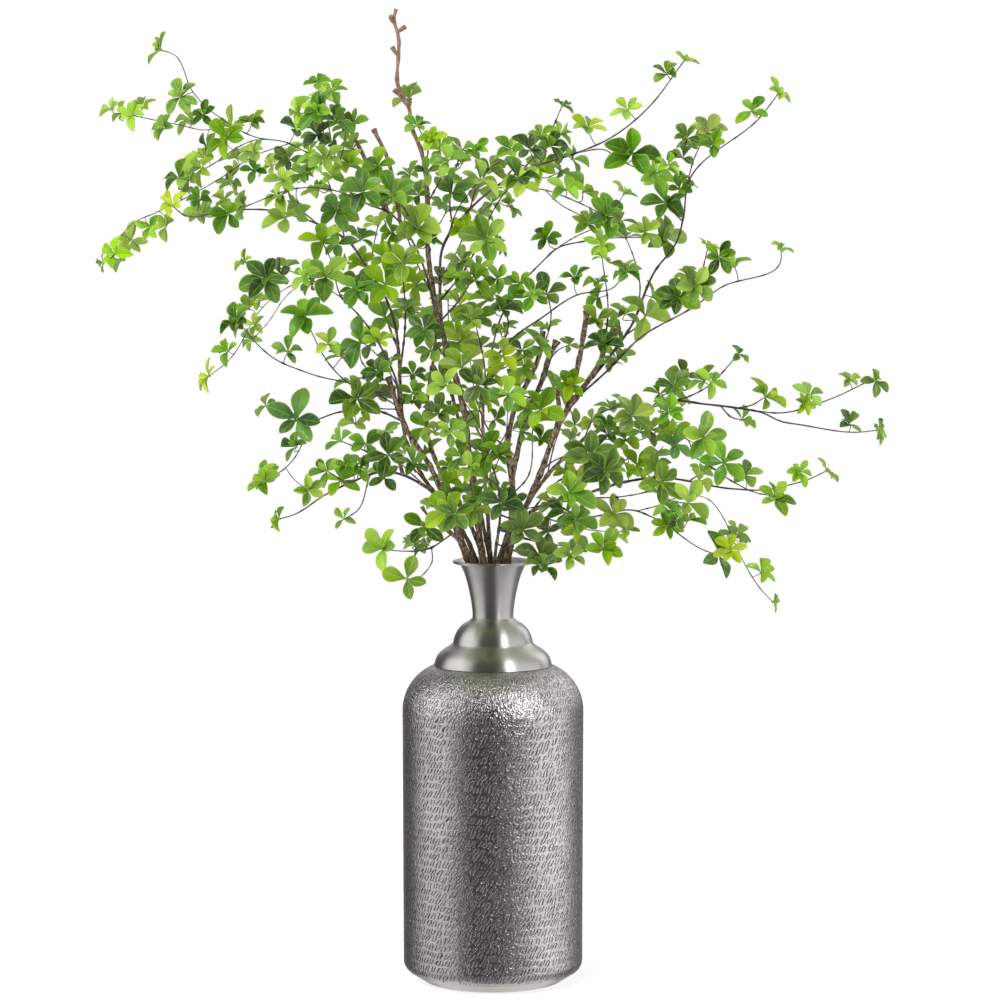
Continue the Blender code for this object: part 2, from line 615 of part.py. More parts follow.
def grow_whorl(mesh, ring, centre, stem, side, kind, dice):
    """A whorl of leaves on the end of a twig whose last ring is given."""
    count = max(dice.choice(LEAF_COUNTS), len(ring))
    length = LEAF_LENGTH[kind] * dice.uniform(*WHORL_VARIES) * MM
    lean = Vector((dice.uniform(-SIDE_LEAN, SIDE_LEAN), -FRONT_LEAN[kind], UP_LEAN))
    axis = (stem * STEM_PULL + lean).normalized()
    if axis.dot(stem) < STEEPEST_LEAN:
        across = (axis - stem * axis.dot(stem)).normalized()
        axis = stem * STEEPEST_LEAN + across * math.sqrt(1 - STEEPEST_LEAN ** 2)
    notches = ring_of(mesh, centre, axis, side, HUB_RADIUS * MM, count, -math.tau / count)
    hub_top = mesh.verts.new(centre + axis * HUB_RISE * MM)
    sides = len(ring)
    for i, notch in enumerate(notches):
        after = notches[(i + 1) % count]
        here = ring[i * sides // count]
        there = ring[(i + 1) * sides // count % sides]
        out = ((notch.co + after.co) / 2 - centre).normalized()
        reach = length * dice.uniform(*LENGTH_VARIES)
        grow_leaf(mesh, centre, hub_top, here, notch, after, out, axis, reach, dice)
        if there != here:
            mesh.faces.new((after, there, here))


def grow_stick(name, stick):
    """A closed mesh of one length of wood, with the whorl on its tip if it has one."""
    mesh = bmesh.new()
    points = stick.points
    leafy = stick.tip != "cut"
    sides = STOUT_SIDES if stick.radii[0] > STOUT_RADIUS * MM else THIN_SIDES
    side = steady_side(points)
    ways = headings(points)
    tube = list(points)
    if leafy:
        tube[-1] = points[-1] - ways[-1] * min(SPUR_DROP * MM, (points[-1] - points[-2]).length / 2)
    rings = []
    for i, (point, way, radius) in enumerate(zip(tube, ways, stick.radii)):
        if not leafy and i == len(tube) - 1:
            radius *= KNOB_SWELL
        rings.append(ring_of(mesh, point, way, side, radius, sides))
    for lower, upper in zip(rings, rings[1:]):
        join_rings(mesh, lower, upper)
    mesh.faces.new(rings[0])
    if leafy:
        across, down, _ = stick.sheet[-1]
        grow_whorl(mesh, rings[-1], points[-1], ways[-1], side, stick.tip, draws_at(across, down))
    else:
        mesh.faces.new(rings[-1])
    bmesh.ops.triangulate(mesh, faces=mesh.faces[:])
    bmesh.ops.recalc_face_normals(mesh, faces=mesh.faces[:])
    data = bpy.data.meshes.new(name)
    mesh.to_mesh(data)
    mesh.free()
    return bpy.data.objects.new(name, data)


def lay_branch(branch, crowd):
    """Every stick of a branch: its trunk, its twigs, and the spurs that carry whorls beside them."""
    trunk = lay_trunk(branch)
    sticks = [trunk]
    for twig in branch.twigs:
        sticks.append(lay_twig(twig, sticks))
    for stick in sticks:
        crowd.add_stick(branch.name, stick)
    return sticks


def settle_tips(branch, sticks, crowd):
    """Moves each leafy tip to a free depth. A tip that finds none is left bare."""
    for stick in sticks:
        if stick.tip == "cut":
            continue
        across, down, depth = stick.sheet[-1]
        free = crowd.claim(branch.name, across, down, depth, LEAF_LENGTH[stick.tip] * MM)
        if free is None:
            stick.tip = "cut"
            continue
        stick.sheet[-1] = (across, down, free)
        stick.points[-1] = place(across, down, free)


def settle_spurs(branch, sticks, crowd):
    """A short spur with a whorl for each marked place beside the wood, at a free depth."""
    marks = [(mark, "leafy") for mark in branch.spurs] + [(mark, "large") for mark in branch.large]
    for twig in branch.twigs:
        marks += [(mark, "leafy") for mark in twig.spurs] + [(mark, "large") for mark in twig.large]
    spurs = []
    for (across, down), kind in marks:
        x, y, depth, radius = nearest(sticks, across, down)
        forward = draws_at(across, down).uniform(*FORWARD) if kind == "leafy" else FORWARD_LARGE
        free = crowd.claim(branch.name, across, down, depth - forward, LEAF_LENGTH[kind] * MM)
        if free is None:
            continue
        points = [place(x, y, depth), place(across, down, free)]
        thick = min(SPUR_RADIUS * MM, radius * SPUR_SHARE)
        spurs.append(Stick([(x, y, depth), (across, down, free)], points, [thick, thick], kind))
    return spurs


def unite(base, repeats):
    """Joins the repeats to the base by one Boolean union, and removes them."""
    collection = bpy.data.collections.new(base.name + "_repeats")
    for repeat in repeats:
        collection.objects.link(repeat)
    bpy.context.scene.collection.children.link(collection)
    union = base.modifiers.new("union", "BOOLEAN")
    union.operation = "UNION"
    union.operand_type = "COLLECTION"
    union.collection = collection
    union.solver = "MANIFOLD"
    bpy.context.view_layer.objects.active = base
    with bpy.context.temp_override(object=base, active_object=base):
        bpy.ops.object.modifier_apply(modifier=union.name)
    for repeat in repeats:
        bpy.data.objects.remove(repeat)
    bpy.data.collections.remove(collection)


def keep_largest(thing):
    """Drops loose scraps that a union leaves, and keeps the one body that holds together."""
    mesh = bmesh.new()
    mesh.from_mesh(thing.data)
    mesh.verts.ensure_lookup_table()
    unseen = set(mesh.verts)
    bodies = []
    while unseen:
        body = set()
        queue = [unseen.pop()]
        while queue:
            vert = queue.pop()
            body.add(vert)
            for edge in vert.link_edges:
                other = edge.other_vert(vert)
                if other in unseen:
                    unseen.remove(other)
                    queue.append(other)
        bodies.append(body)
    bodies.sort(key=len)
    for scrap in bodies[:-1]:
        bmesh.ops.delete(mesh, geom=list(scrap), context="VERTS")
    mesh.to_mesh(thing.data)
    mesh.free()


def material(name, colour, roughness, metallic=0.0):
    """A Principled material in one colour."""
    made = bpy.data.materials.new(name)
    made.use_nodes = True
    shader = made.node_tree.nodes["Principled BSDF"]
    shader.inputs["Base Color"].default_value = (*colour, 1.0)
    shader.inputs["Roughness"].default_value = roughness
    shader.inputs["Metallic"].default_value = metallic
    return made


def arc(centre_out, centre_up, radius, start, end, steps):
    """Points of a profile's arc. Angles in degrees, from straight out, upwards."""
    points = []
    for i in range(steps + 1):
        angle = math.radians(start + (end - start) * i / steps)
        points.append((centre_out + radius * math.cos(angle), centre_up + radius * math.sin(angle)))
    return points


def turned(name, outline, look):
    """A closed solid of revolution from an outline of (radius, height) points in millimetres."""
    mesh = bmesh.new()
    verts = [mesh.verts.new((radius * MM, 0.0, height * MM)) for radius, height in outline]
    edges = [mesh.edges.new((before, after)) for before, after in zip(verts, verts[1:])]
    if outline[0][0] > 0.0:
        edges.append(mesh.edges.new((verts[-1], verts[0])))
    bmesh.ops.spin(mesh, geom=verts + edges, cent=(0, 0, 0), axis=(0, 0, 1), angle=math.tau,
                   steps=VASE_SIDES, use_merge=True)
    bmesh.ops.remove_doubles(mesh, verts=mesh.verts[:], dist=WELD)
    bmesh.ops.recalc_face_normals(mesh, faces=mesh.faces[:])
    data = bpy.data.meshes.new(name)
    mesh.to_mesh(data)
    mesh.free()
    data.shade_smooth()
    data.set_sharp_from_angle(angle=SHARP)
    data.materials.append(look)
    thing = bpy.data.objects.new(name, data)
    bpy.context.scene.collection.objects.link(thing)
    return thing


def heel_angle(height, radius):
    """The angle on the heel's arc at which the wall has reached a height."""
    return -math.degrees(math.asin((HEEL_HEIGHT - height) / radius))


def make_vase():
    """The foot plate, the hammered body and the smooth neck."""
    pewter = material("hammered_pewter", PEWTER, PEWTER_ROUGHNESS, 1.0)
    satin = material("satin_pewter", SATIN, SATIN_ROUGHNESS, 1.0)
    turned("vase_foot", ((0.0, 0.0),) + FOOT_OUTSIDE + ((0.0, FOOT_HEIGHT),), satin)
    base = FOOT_HEIGHT + GAP
    floor = base + FLOOR_THICKNESS
    heel_centre = HEEL_OUT - HEEL_RADIUS
    top_angle = math.degrees(math.acos((BODY_MOUTH - BELLY_RADIUS + SHOULDER_RADIUS) / SHOULDER_RADIUS))
    shoulder_centre = BELLY_RADIUS - SHOULDER_RADIUS
    inner_heel = HEEL_RADIUS - WALL
    outline = [(0.0, base)]
    outline += arc(heel_centre, HEEL_HEIGHT, HEEL_RADIUS, heel_angle(base, HEEL_RADIUS), 0.0, HEEL_STEPS[0])
    outline += arc(shoulder_centre, SHOULDER_HEIGHT, SHOULDER_RADIUS, 0.0, top_angle, SHOULDER_STEPS[0])
    inner_shoulder = SHOULDER_RADIUS - WALL
    outline += arc(shoulder_centre, SHOULDER_HEIGHT, inner_shoulder, top_angle, 0.0, SHOULDER_STEPS[1])
    outline += arc(heel_centre, HEEL_HEIGHT, inner_heel, 0.0, heel_angle(floor, inner_heel), HEEL_STEPS[1])
    outline += [(0.0, floor)]
    turned("vase_body", outline, pewter)
    turned("vase_neck", NECK_OUTSIDE + NECK_RIM + NECK_INSIDE, satin)


def make_branches():
    """All thirteen branches: first the wood is laid, then the whorls find free places, then all is built."""
    leaf = material("leafy_branch", LEAF_GREEN, LEAF_ROUGHNESS)
    crowd = Crowd()
    laid = [lay_branch(branch, crowd) for branch in BRANCHES]
    for branch, sticks in zip(BRANCHES, laid):
        settle_tips(branch, sticks, crowd)
    for branch, sticks in zip(BRANCHES, laid):
        sticks += settle_spurs(branch, sticks, crowd)
    for branch, sticks in zip(BRANCHES, laid):
        parts = [grow_stick(branch.name + "_piece", stick) for stick in sticks]
        base = parts[0]
        base.name = branch.name
        bpy.context.scene.collection.objects.link(base)
        unite(base, parts[1:])
        keep_largest(base)
        base.data.name = branch.name
        base.data.materials.clear()
        base.data.materials.append(leaf)


def main():
    for thing in list(bpy.data.objects):
        bpy.data.objects.remove(thing)
    make_vase()
    make_branches()


main()
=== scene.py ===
"""Leafy cut branches in a tall hammered-metal vase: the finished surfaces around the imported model.

The branches are drawn on a sheet seen from the front, and laid, settled and counted just as in the model's
source, so every stem and whorl stays where its solid is. Whorls that the solids leave out are added after
them.
"""

import functools
import math
import random
from dataclasses import dataclass

import bpy
import numpy as np
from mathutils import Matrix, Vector


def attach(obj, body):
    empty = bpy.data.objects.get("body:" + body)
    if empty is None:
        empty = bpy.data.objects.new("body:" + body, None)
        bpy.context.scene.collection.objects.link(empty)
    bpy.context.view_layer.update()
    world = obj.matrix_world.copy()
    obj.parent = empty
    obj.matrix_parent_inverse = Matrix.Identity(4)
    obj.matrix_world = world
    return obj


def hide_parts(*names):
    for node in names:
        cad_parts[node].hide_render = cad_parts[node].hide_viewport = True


bl_info = {
    "name": "Leafy branches in a hammered vase",
    "version": (1, 0, 0),
    "blender": (4, 5, 0),
    "location": "3D View > Sidebar > Branches",
    "description": "Makes a hammered-metal vase and the leafy branches that stand in it",
    "category": "Object",
}

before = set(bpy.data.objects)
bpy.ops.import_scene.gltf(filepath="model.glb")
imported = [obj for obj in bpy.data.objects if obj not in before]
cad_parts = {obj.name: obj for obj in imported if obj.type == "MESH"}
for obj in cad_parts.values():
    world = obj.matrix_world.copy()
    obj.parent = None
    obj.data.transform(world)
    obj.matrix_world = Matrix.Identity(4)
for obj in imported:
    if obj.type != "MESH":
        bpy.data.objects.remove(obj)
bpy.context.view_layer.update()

MM = 0.001
SEED = 20
SEED_STRIDE = 1009

# The drawing sheet: how it maps to real places. The camera stands where the sheet is seen from.
SHEET_CENTRE = 500.0
SHEET_FOCAL = 4050.0
SHEET_WIDTH = 1000.0
VIEW_DISTANCE = 5.0
VIEW_SIDE = 0.00875
VIEW_HEIGHT = 1.022
VIEW_PITCH = math.radians(4.8)

# Stems inside the vase, in millimetres
THROAT_HEIGHT = 460.0
STEM_FOOT_HEIGHT = 19.0
STEM_SPREAD = 1.5
FLARE_HEIGHT = 493.0
FLARE_SPREAD = 1.14

# Leaves: lengths in millimetres, other sizes as shares of a leaf's length, angles in degrees
LEAF_LENGTH = {"large": 35.0, "leafy": 28.0, "small": 23.0, "added": 23.0}
LEAF_WIDTH = {"large": 0.6, "leafy": 0.56, "small": 0.5, "added": 0.56}
LEAF_SCALE = {"large": (0.74, 0.95), "leafy": (0.7, 0.96), "small": (0.68, 0.92), "added": (0.8, 1.15)}
LEAF_LIFT = (3.0, 35.0)
LEAF_COUNTS = (4, 5, 5, 5, 6)
WHORL_VARIES = (0.9, 1.1)
LENGTH_VARIES = (0.76, 1.1)
WIDTH_VARIES = (0.88, 1.08)

# How a whorl faces: along its twig, to the front, up, outwards from the vase, and a little to either side
STEM_PULL = {"large": 0.4, "leafy": 0.6, "small": 0.8, "added": 0.4}
FRONT_LEAN = {"large": (0.5, 1.1), "leafy": (-0.2, 0.75), "small": (-0.25, 0.4), "added": (-0.2, 0.85)}
UP_LEAN = (0.25, 0.7)
SIDE_LEAN = 0.3
OUT_LEAN = 0.9
STEEPEST_LEAN = 0.3

# Wood, in millimetres, and as shares of the radius of the wood that it grows on
SPUR_RADIUS = 1.0
TWIG_END_RADIUS = 1.1
STOUT_RADIUS = 2.4
STOUT_SIDES = 5
THIN_SIDES = 3
TWIG_SHARE = 0.85
SPUR_SHARE = 0.8
BEND_TOLERANCE = 1.5

# Where a whorl may sit: how far a spur reaches forward, other depths to try, and how close to its neighbours
FORWARD = {"large": (24.0, 24.0), "leafy": (4.0, 22.0), "added": (2.0, 26.0)}
DEPTH_TRIES = (0, -12, 12, -24, 24, -36, 36, -50, 50, -65, 65, -80, 80)
CLEARANCE = 0.9
OWN_CLEARANCE = 0.75


@dataclass
class Twig:
    """A shoot from the wood behind its first point: its route on the sheet, and its tip's depth."""
    route: tuple
    depth: float
    tip: str = "leafy"
    spurs: tuple = ()
    large: tuple = ()
    thick: float = 1.5


@dataclass
class Branch:
    """One cut branch: its place in the throat, its trunk as (across, down, depth), and all it carries."""
    name: str
    throat: tuple
    thick: float
    thin: float
    trunk: tuple
    tip: str
    twigs: tuple
    spurs: tuple = ()
    large: tuple = ()


TALL_BRANCH = Branch(
    "tall_branch", (-6, -7), 5.0, 2.4,
    ((483, 560, -8), (477, 515, -14), (470, 460, -18), (462, 400, -14), (446, 345, -4), (434, 295, 6),
     (427, 240, 18), (427, 190, 28), (421, 150, 36), (411, 125, 40), (409, 108, 42), (400, 92, 44),
     (398, 62, 46), (398, 35, 48), (394, 19, 49), (396, 9, 50)),
    "cut",
    (
        Twig(((395, 22), (391, 16)), 42, "cut", thick=2.2),
        Twig(((398, 33), (405, 27)), 44, "cut", thick=2.4),
        Twig(((398, 54), (392, 47)), 42, "cut", thick=2.2),
        Twig(((402, 98), (394, 90)), 36, "cut", thick=2.6),
        Twig(((405, 103), (409, 98)), 85),
        Twig(((424, 165), (428, 152), (423, 141), (418, 126)), 10),
        Twig(((426, 202), (434, 190), (441, 178), (448, 161)), -60, "large", thick=1.8),
        Twig(((429, 255), (423, 241), (418, 228)), -80, "large"),
        Twig(((428, 235), (438, 225), (446, 212)), 90, "large"),
        Twig(((440, 320), (456, 300), (468, 283), (478, 268)), -120, thick=1.8),
        Twig(((462, 400), (452, 380), (440, 350), (424, 330)), -170, "large", large=((450, 325),),
             thick=1.8),
    ),
)

BROWN_BRANCH = Branch(
    "brown_branch", (-8, 5), 3.6, 1.2,
    ((483, 560, 8), (468, 520, 8), (450, 490, 6), (436, 462, 2), (428, 435, 0), (427, 405, 2),
     (431, 375, 2), (435, 345, 0), (435, 315, -10), (430, 288, -18), (423, 265, -22), (414, 244, -26),
     (398, 226, -30), (388, 212, -32), (370, 205, -36), (355, 197, -42), (344, 182, -48), (336, 160, -52),
     (331, 135, -56), (327, 110, -60), (324, 96, -64)),
    "leafy",
    (
        Twig(((398, 226), (396, 195), (388, 160), (374, 130)), 40, "cut", thick=3.4),
        Twig(((388, 212), (370, 170), (352, 132), (335, 98)), -10, "cut", thick=2.8),
        Twig(((404, 234), (399, 215), (392, 194)), -95, "large", thick=1.8),
        Twig(((381, 209), (385, 186), (378, 166)), -60, "large", thick=1.6),
        Twig(((388, 212), (375, 200), (363, 192)), -100, "large"),
        Twig(((345, 183), (332, 168), (327, 148), (322, 120), (318, 83)), -120, spurs=((299, 113),)),
        Twig(((338, 165), (343, 150), (346, 128)), 20),
        Twig(((336, 158), (315, 155), (285, 142), (255, 137), (222, 119), (204, 105), (193, 92), (182, 72),
             (173, 54), (161, 50)), -70, "small", spurs=((204, 115), (252, 122)), large=((227, 139),),
             thick=1.8),
        Twig(((228, 122), (212, 129), (175, 124), (150, 119), (122, 113)), 40, "small",
             spurs=((165, 128),)),
        Twig(((270, 139), (255, 140), (240, 146), (210, 166), (191, 176)), -130, "large"),
        Twig(((290, 144), (250, 158), (230, 172), (203, 187), (180, 199), (155, 213), (135, 222),
             (117, 241), (103, 262)), 60, "small", spurs=((150, 226),), thick=1.7),
        Twig(((360, 200), (340, 192), (320, 188), (300, 188), (270, 197), (246, 206)), -160),
    ),
)

UPPER_LEFT_BRANCH = Branch(
    "upper_left_branch", (-11.5, 14), 3.4, 1.2,
    ((476, 560, 18), (459, 525, 24), (438, 498, 30), (419, 470, 34), (406, 440, 36), (401, 400, 36),
     (399, 360, 34), (396, 330, 28), (390, 308, 22), (378, 288, 14), (364, 263, 4), (350, 243, -4),
     (336, 234, -10), (320, 225, -14), (298, 217, -20), (275, 211, -24), (230, 210, -30), (200, 213, -34),
     (182, 214, -36), (173, 206, -34)),
    "leafy",
    (
        Twig(((345, 239), (339, 220), (334, 200), (324, 175), (308, 164)), 90),
        Twig(((318, 224), (305, 197), (295, 178), (286, 158)), 60),
        Twig(((378, 288), (370, 272), (362, 262), (348, 263)), 120),
        Twig(((401, 392), (385, 365), (372, 350), (362, 342)), 170, "large"),
        Twig(((400, 372), (404, 340), (404, 300), (402, 262)), -60, "large", spurs=((385, 318),),
             thick=2.0),
        Twig(((399, 350), (380, 300), (372, 260), (378, 225)), 230, large=((385, 285),), thick=2.0),
    ),
    spurs=((285, 218),),
    large=((229, 213), (337, 211)),
)

LEFT_BRANCH = Branch(
    "left_branch", (-16.5, -6), 4.2, 3.4,
    ((469, 560, -10), (460, 535, -18), (450, 512, -24), (441, 490, -30), (431, 468, -34), (418, 448, -38),
     (406, 428, -42), (398, 405, -46), (392, 391, -48), (388, 377, -50)),
    "cut",
    (
        Twig(((400, 412), (396, 380), (386, 357), (372, 332), (356, 312), (342, 298), (338, 280),
             (331, 260), (322, 241)), -70, "large", large=((326, 277),), thick=2.0),
        Twig(((342, 298), (325, 287), (305, 277), (290, 271), (272, 268), (245, 262)), -110, "small",
             large=((266, 279),)),
        Twig(((312, 281), (297, 283), (282, 291), (266, 304), (256, 320), (246, 333), (235, 349),
             (225, 364), (209, 376)), -60),
        Twig(((300, 282), (283, 300), (270, 320), (252, 340)), 10),
        Twig(((398, 405), (370, 390), (340, 381), (308, 373), (290, 366), (272, 357), (258, 345),
             (241, 325)), -150, "small", spurs=((288, 352),)),
        Twig(((392, 391), (372, 392), (350, 384), (330, 365), (313, 335), (305, 316)), -100, "large"),
        Twig(((390, 384), (372, 370), (361, 360), (360, 342)), -90, "large"),
        Twig(((403, 421), (385, 413), (370, 409), (355, 410), (340, 412), (320, 417), (303, 422),
             (285, 418), (266, 406)), -60, "small", large=((297, 419),), thick=2.0),
        Twig(((400, 410), (378, 408), (357, 399)), -110, "large"),
        Twig(((312, 420), (304, 440), (293, 460), (280, 472), (267, 477)), -120),
    ),
)

LEFT_LOW_BRANCH = Branch(
    "left_low_branch", (-18, 4), 3.3, 1.2,
    ((466, 560, 4), (454, 530, 8), (443, 506, 10), (430, 490, 12), (416, 481, 14), (403, 475, 14),
     (390, 472, 12), (378, 475, 8), (364, 480, 2), (345, 485, -6), (325, 495, -14), (308, 506, -20),
     (293, 515, -24), (279, 519, -26)),
    "small",
    (
        Twig(((402, 475), (400, 460), (397, 446)), 0, "cut", thick=2.6),
        Twig(((392, 472), (376, 464), (360, 454), (341, 441)), -60, "small"),
        Twig(((372, 477), (368, 482), (357, 511), (344, 519)), 70, "small"),
        Twig(((364, 480), (345, 474), (327, 471)), -90, "large"),
        Twig(((425, 487), (408, 470), (392, 452), (384, 437)), 150),
        Twig(((436, 497), (415, 470), (400, 455), (388, 455)), -120, "large", large=((384, 478),)),
    ),
)

LOW_LEFT_BRANCH = Branch(
    "low_left_branch", (-9.5, -15.5), 3.3, 2.4,
    ((473, 560, -22), (464, 546, -36), (452, 534, -52), (440, 526, -62), (430, 518, -70), (422, 507, -76)),
    "cut",
    (
        Twig(((452, 534), (440, 541), (428, 549), (400, 551), (383, 549)), -90, "large"),
        Twig(((430, 548), (432, 562), (420, 577), (407, 579)), -110, "large"),
        Twig(((447, 531), (436, 524), (425, 527)), -130, "large"),
        Twig(((458, 540), (454, 524), (448, 512)), -140, "large"),
    ),
)

FRONT_BRANCH = Branch(
    "front_branch", (2, -18), 3.2, 1.3,
    ((495, 560, -30), (497, 535, -54), (500, 512, -78), (498, 485, -96), (488, 455, -116)),
    "large",
    (
        Twig(((498, 528), (510, 532), (522, 530)), -120, "large"),
        Twig(((500, 512), (502, 506), (501, 503)), -125, "large"),
        Twig(((496, 545), (512, 548), (528, 552), (540, 556)), -90, "large"),
        Twig(((500, 515), (530, 525), (560, 526), (575, 520)), -120, "large", thick=1.8),
        Twig(((497, 530), (530, 540), (560, 543), (590, 547), (603, 550)), -80, "large", thick=1.8),
        Twig(((500, 508), (530, 508), (555, 502), (569, 493)), -160, "large"),
        Twig(((498, 485), (480, 472), (461, 457)), -150, "large"),
        Twig(((490, 465), (470, 445), (450, 430), (438, 414)), -165, "large", thick=1.7),
        Twig(((494, 470), (505, 440), (508, 395)), -175, "large", thick=1.7),
        Twig(((490, 462), (476, 420), (458, 395), (446, 385)), -210, "large", large=((478, 385),),
             thick=1.7),
    ),
)

STUB_BRANCH = Branch(
    "stub_branch", (6, -3), 4.4, 3.2,
    ((500, 560, -4), (509, 530, -4), (513, 500, -2), (511, 470, 0), (508, 443, 2), (512, 418, 4),
     (521, 394, 6), (532, 368, 8), (541, 348, 8), (543, 331, 8)),
    "cut",
    (
        Twig(((512, 480), (519, 445), (527, 415), (536, 393), (544, 375), (550, 355), (557, 341)), 40,
             "cut", thick=3.2),
        Twig(((512, 495), (526, 480), (530, 455), (533, 425)), 60, "large"),
        Twig(((540, 350), (549, 330), (551, 312), (547, 294)), -100, "large"),
        Twig(((521, 394), (531, 398), (540, 410)), -60, "large"),
        Twig(((532, 368), (522, 358), (512, 345)), 60),
        Twig(((547, 365), (558, 350), (569, 345)), 70, "small"),
        Twig(((526, 405), (538, 392), (553, 388)), 80, "large"),
        Twig(((509, 450), (490, 432), (478, 405), (470, 360)), 130, large=((455, 355),), thick=1.8),
    ),
)

RIGHT_TRUNK = Branch(
    "right_trunk", (14.5, -8), 4.6, 3.4,
    ((506, 560, -12), (516, 530, -18), (529, 499, -26), (541, 472, -30), (549, 449, -32), (557, 428, -32),
     (566, 412, -32), (576, 397, -30), (590, 378, -28), (600, 362, -24), (606, 344, -22), (618, 330, -20)),
    "cut",
    (
        Twig(((566, 412), (573, 385), (580, 355), (584, 332), (587, 312)), 10, "cut", thick=3.2),
        Twig(((556, 430), (559, 410), (557, 392)), -60, "cut", thick=2.6),
        Twig(((582, 389), (607, 360), (630, 328), (638, 310), (647, 288), (655, 271), (668, 253),
             (677, 241), (684, 213), (687, 187), (695, 178), (712, 163), (735, 140), (763, 114), (778, 94)),
             70, spurs=((752, 111),), thick=2.2),
        Twig(((687, 187), (692, 165), (706, 133)), -20, "large"),
        Twig(((684, 213), (679, 195), (680, 180)), 100, "large"),
        Twig(((682, 222), (672, 212), (666, 203)), 0, "large"),
        Twig(((574, 400), (606, 372), (640, 338), (671, 319), (695, 306), (720, 288), (760, 269),
             (781, 260), (781, 248)), -90, "small", spurs=((734, 266),), large=((679, 298),), thick=2.0),
        Twig(((690, 308), (698, 285), (705, 260), (708, 247)), -60, "small", large=((695, 286),)),
        Twig(((638, 312), (640, 285), (634, 258), (626, 238)), 130),
        Twig(((606, 350), (608, 312), (605, 285), (602, 257)), 20, "small"),
        Twig(((625, 335), (636, 325), (645, 316)), -30, "large", spurs=((612, 327),)),
        Twig(((618, 345), (622, 352), (617, 358)), 60),
        Twig(((541, 472), (552, 462), (566, 456), (590, 456)), -110, "large", large=((604, 472),)),
    ),
)

RIGHT_BRANCH = Branch(
    "right_branch", (18, 3), 3.5, 1.2,
    ((509, 560, 8), (519, 525, 14), (529, 502, 18), (547, 476, 24), (569, 453, 26), (584, 439, 24),
     (608, 425, 20), (630, 415, 14), (652, 407, 8), (676, 401, 2), (704, 404, -6), (737, 408, -12),
     (763, 413, -18), (780, 421, -22), (802, 425, -26), (839, 430, -30), (862, 432, -32), (878, 430, -34)),
    "small",
    (
        Twig(((755, 411), (778, 413), (804, 406), (828, 400), (857, 386), (873, 379)), 60, "small",
             spurs=((809, 396),)),
        Twig(((737, 408), (752, 405), (765, 397)), -60),
        Twig(((670, 402), (690, 396), (704, 389), (720, 374), (738, 355)), -60, "small",
             spurs=((704, 381),)),
        Twig(((608, 425), (625, 428), (643, 433), (674, 448), (711, 467), (735, 483), (757, 493),
             (774, 496)), -90, large=((724, 463), (703, 438)), thick=1.8),
        Twig(((622, 418), (628, 414), (632, 416)), -60, "large"),
        Twig(((584, 439), (600, 425), (612, 412), (622, 404)), 110),
        Twig(((720, 406), (730, 412), (742, 420)), 30),
        Twig(((652, 407), (662, 396), (674, 391)), 70, "large"),
        Twig(((690, 457), (688, 440), (674, 434)), -30, "large"),
        Twig(((569, 453), (600, 440), (640, 440), (668, 425)), 170),
        Twig(((547, 476), (556, 440), (570, 410), (575, 425)), 120),
    ),
)

RIGHT_LOW_BRANCH = Branch(
    "right_low_branch", (12, 13), 3.3, 1.2,
    ((504, 560, 22), (514, 532, 36), (530, 513, 50), (552, 502, 60), (575, 498, 66), (600, 489, 66),
     (625, 482, 62), (650, 478, 56), (680, 481, 50), (702, 485, 44), (735, 489, 36), (763, 490, 30),
     (789, 485, 26), (812, 478, 24), (826, 471, 24)),
    "small",
    (
        Twig(((575, 500), (600, 498), (626, 496), (645, 492), (661, 482)), -60, "large", thick=1.7),
        Twig(((552, 504), (580, 516), (605, 513), (637, 511), (656, 519), (683, 536), (706, 551),
             (718, 555)), -30, "large", large=((613, 514),), thick=1.8),
        Twig(((637, 511), (655, 506), (672, 503), (688, 503)), -80, "large"),
        Twig(((655, 506), (690, 495), (706, 498), (724, 519), (731, 535), (741, 552), (757, 580),
             (765, 594), (773, 602)), 30, "small", spurs=((761, 573),), large=((734, 538),), thick=1.6),
        Twig(((600, 489), (615, 470), (628, 458)), 120),
        Twig(((690, 483), (696, 478), (700, 474)), 110),
        Twig(((530, 513), (560, 480), (590, 470), (612, 455)), 220, thick=1.7),
        Twig(((530, 514), (560, 522), (590, 530), (610, 532)), 180),
        Twig(((514, 532), (506, 500), (490, 470), (485, 440)), 170, thick=1.7),
    ),
)

CENTRE_BRANCH = Branch(
    "centre_branch", (3, 7.5), 3.6, 1.2,
    ((491, 560, 6), (488, 520, 0), (485, 480, -10), (483, 440, -20), (484, 405, -26), (486, 384, -28),
     (491, 367, -28), (500, 352, -30), (513, 338, -30), (527, 328, -30), (540, 319, -28), (556, 308, -24),
     (577, 295, -16), (599, 290, -10), (614, 287, -6), (626, 272, -4)),
    "leafy",
    (
        Twig(((487, 378), (492, 350), (500, 320), (513, 295), (530, 275), (543, 261), (556, 249),
             (586, 241), (621, 240), (662, 237)), 60, "large", spurs=((547, 238),), thick=1.8),
        Twig(((552, 253), (565, 243), (582, 234), (600, 226)), 110, "large"),
        Twig(((486, 384), (484, 362), (478, 340), (474, 318)), -70, "large"),
        Twig(((488, 374), (506, 367), (520, 359), (540, 347)), -60),
        Twig(((502, 350), (508, 320), (500, 303), (490, 300)), -80, "large"),
        Twig(((483, 400), (474, 380), (462, 368)), -80, "large"),
        Twig(((485, 470), (500, 440), (512, 420), (520, 385)), 200, thick=1.7),
        Twig(((483, 440), (462, 400), (450, 350), (448, 300)), 220, "large", large=((430, 330),),
             thick=1.8),
    ),
)

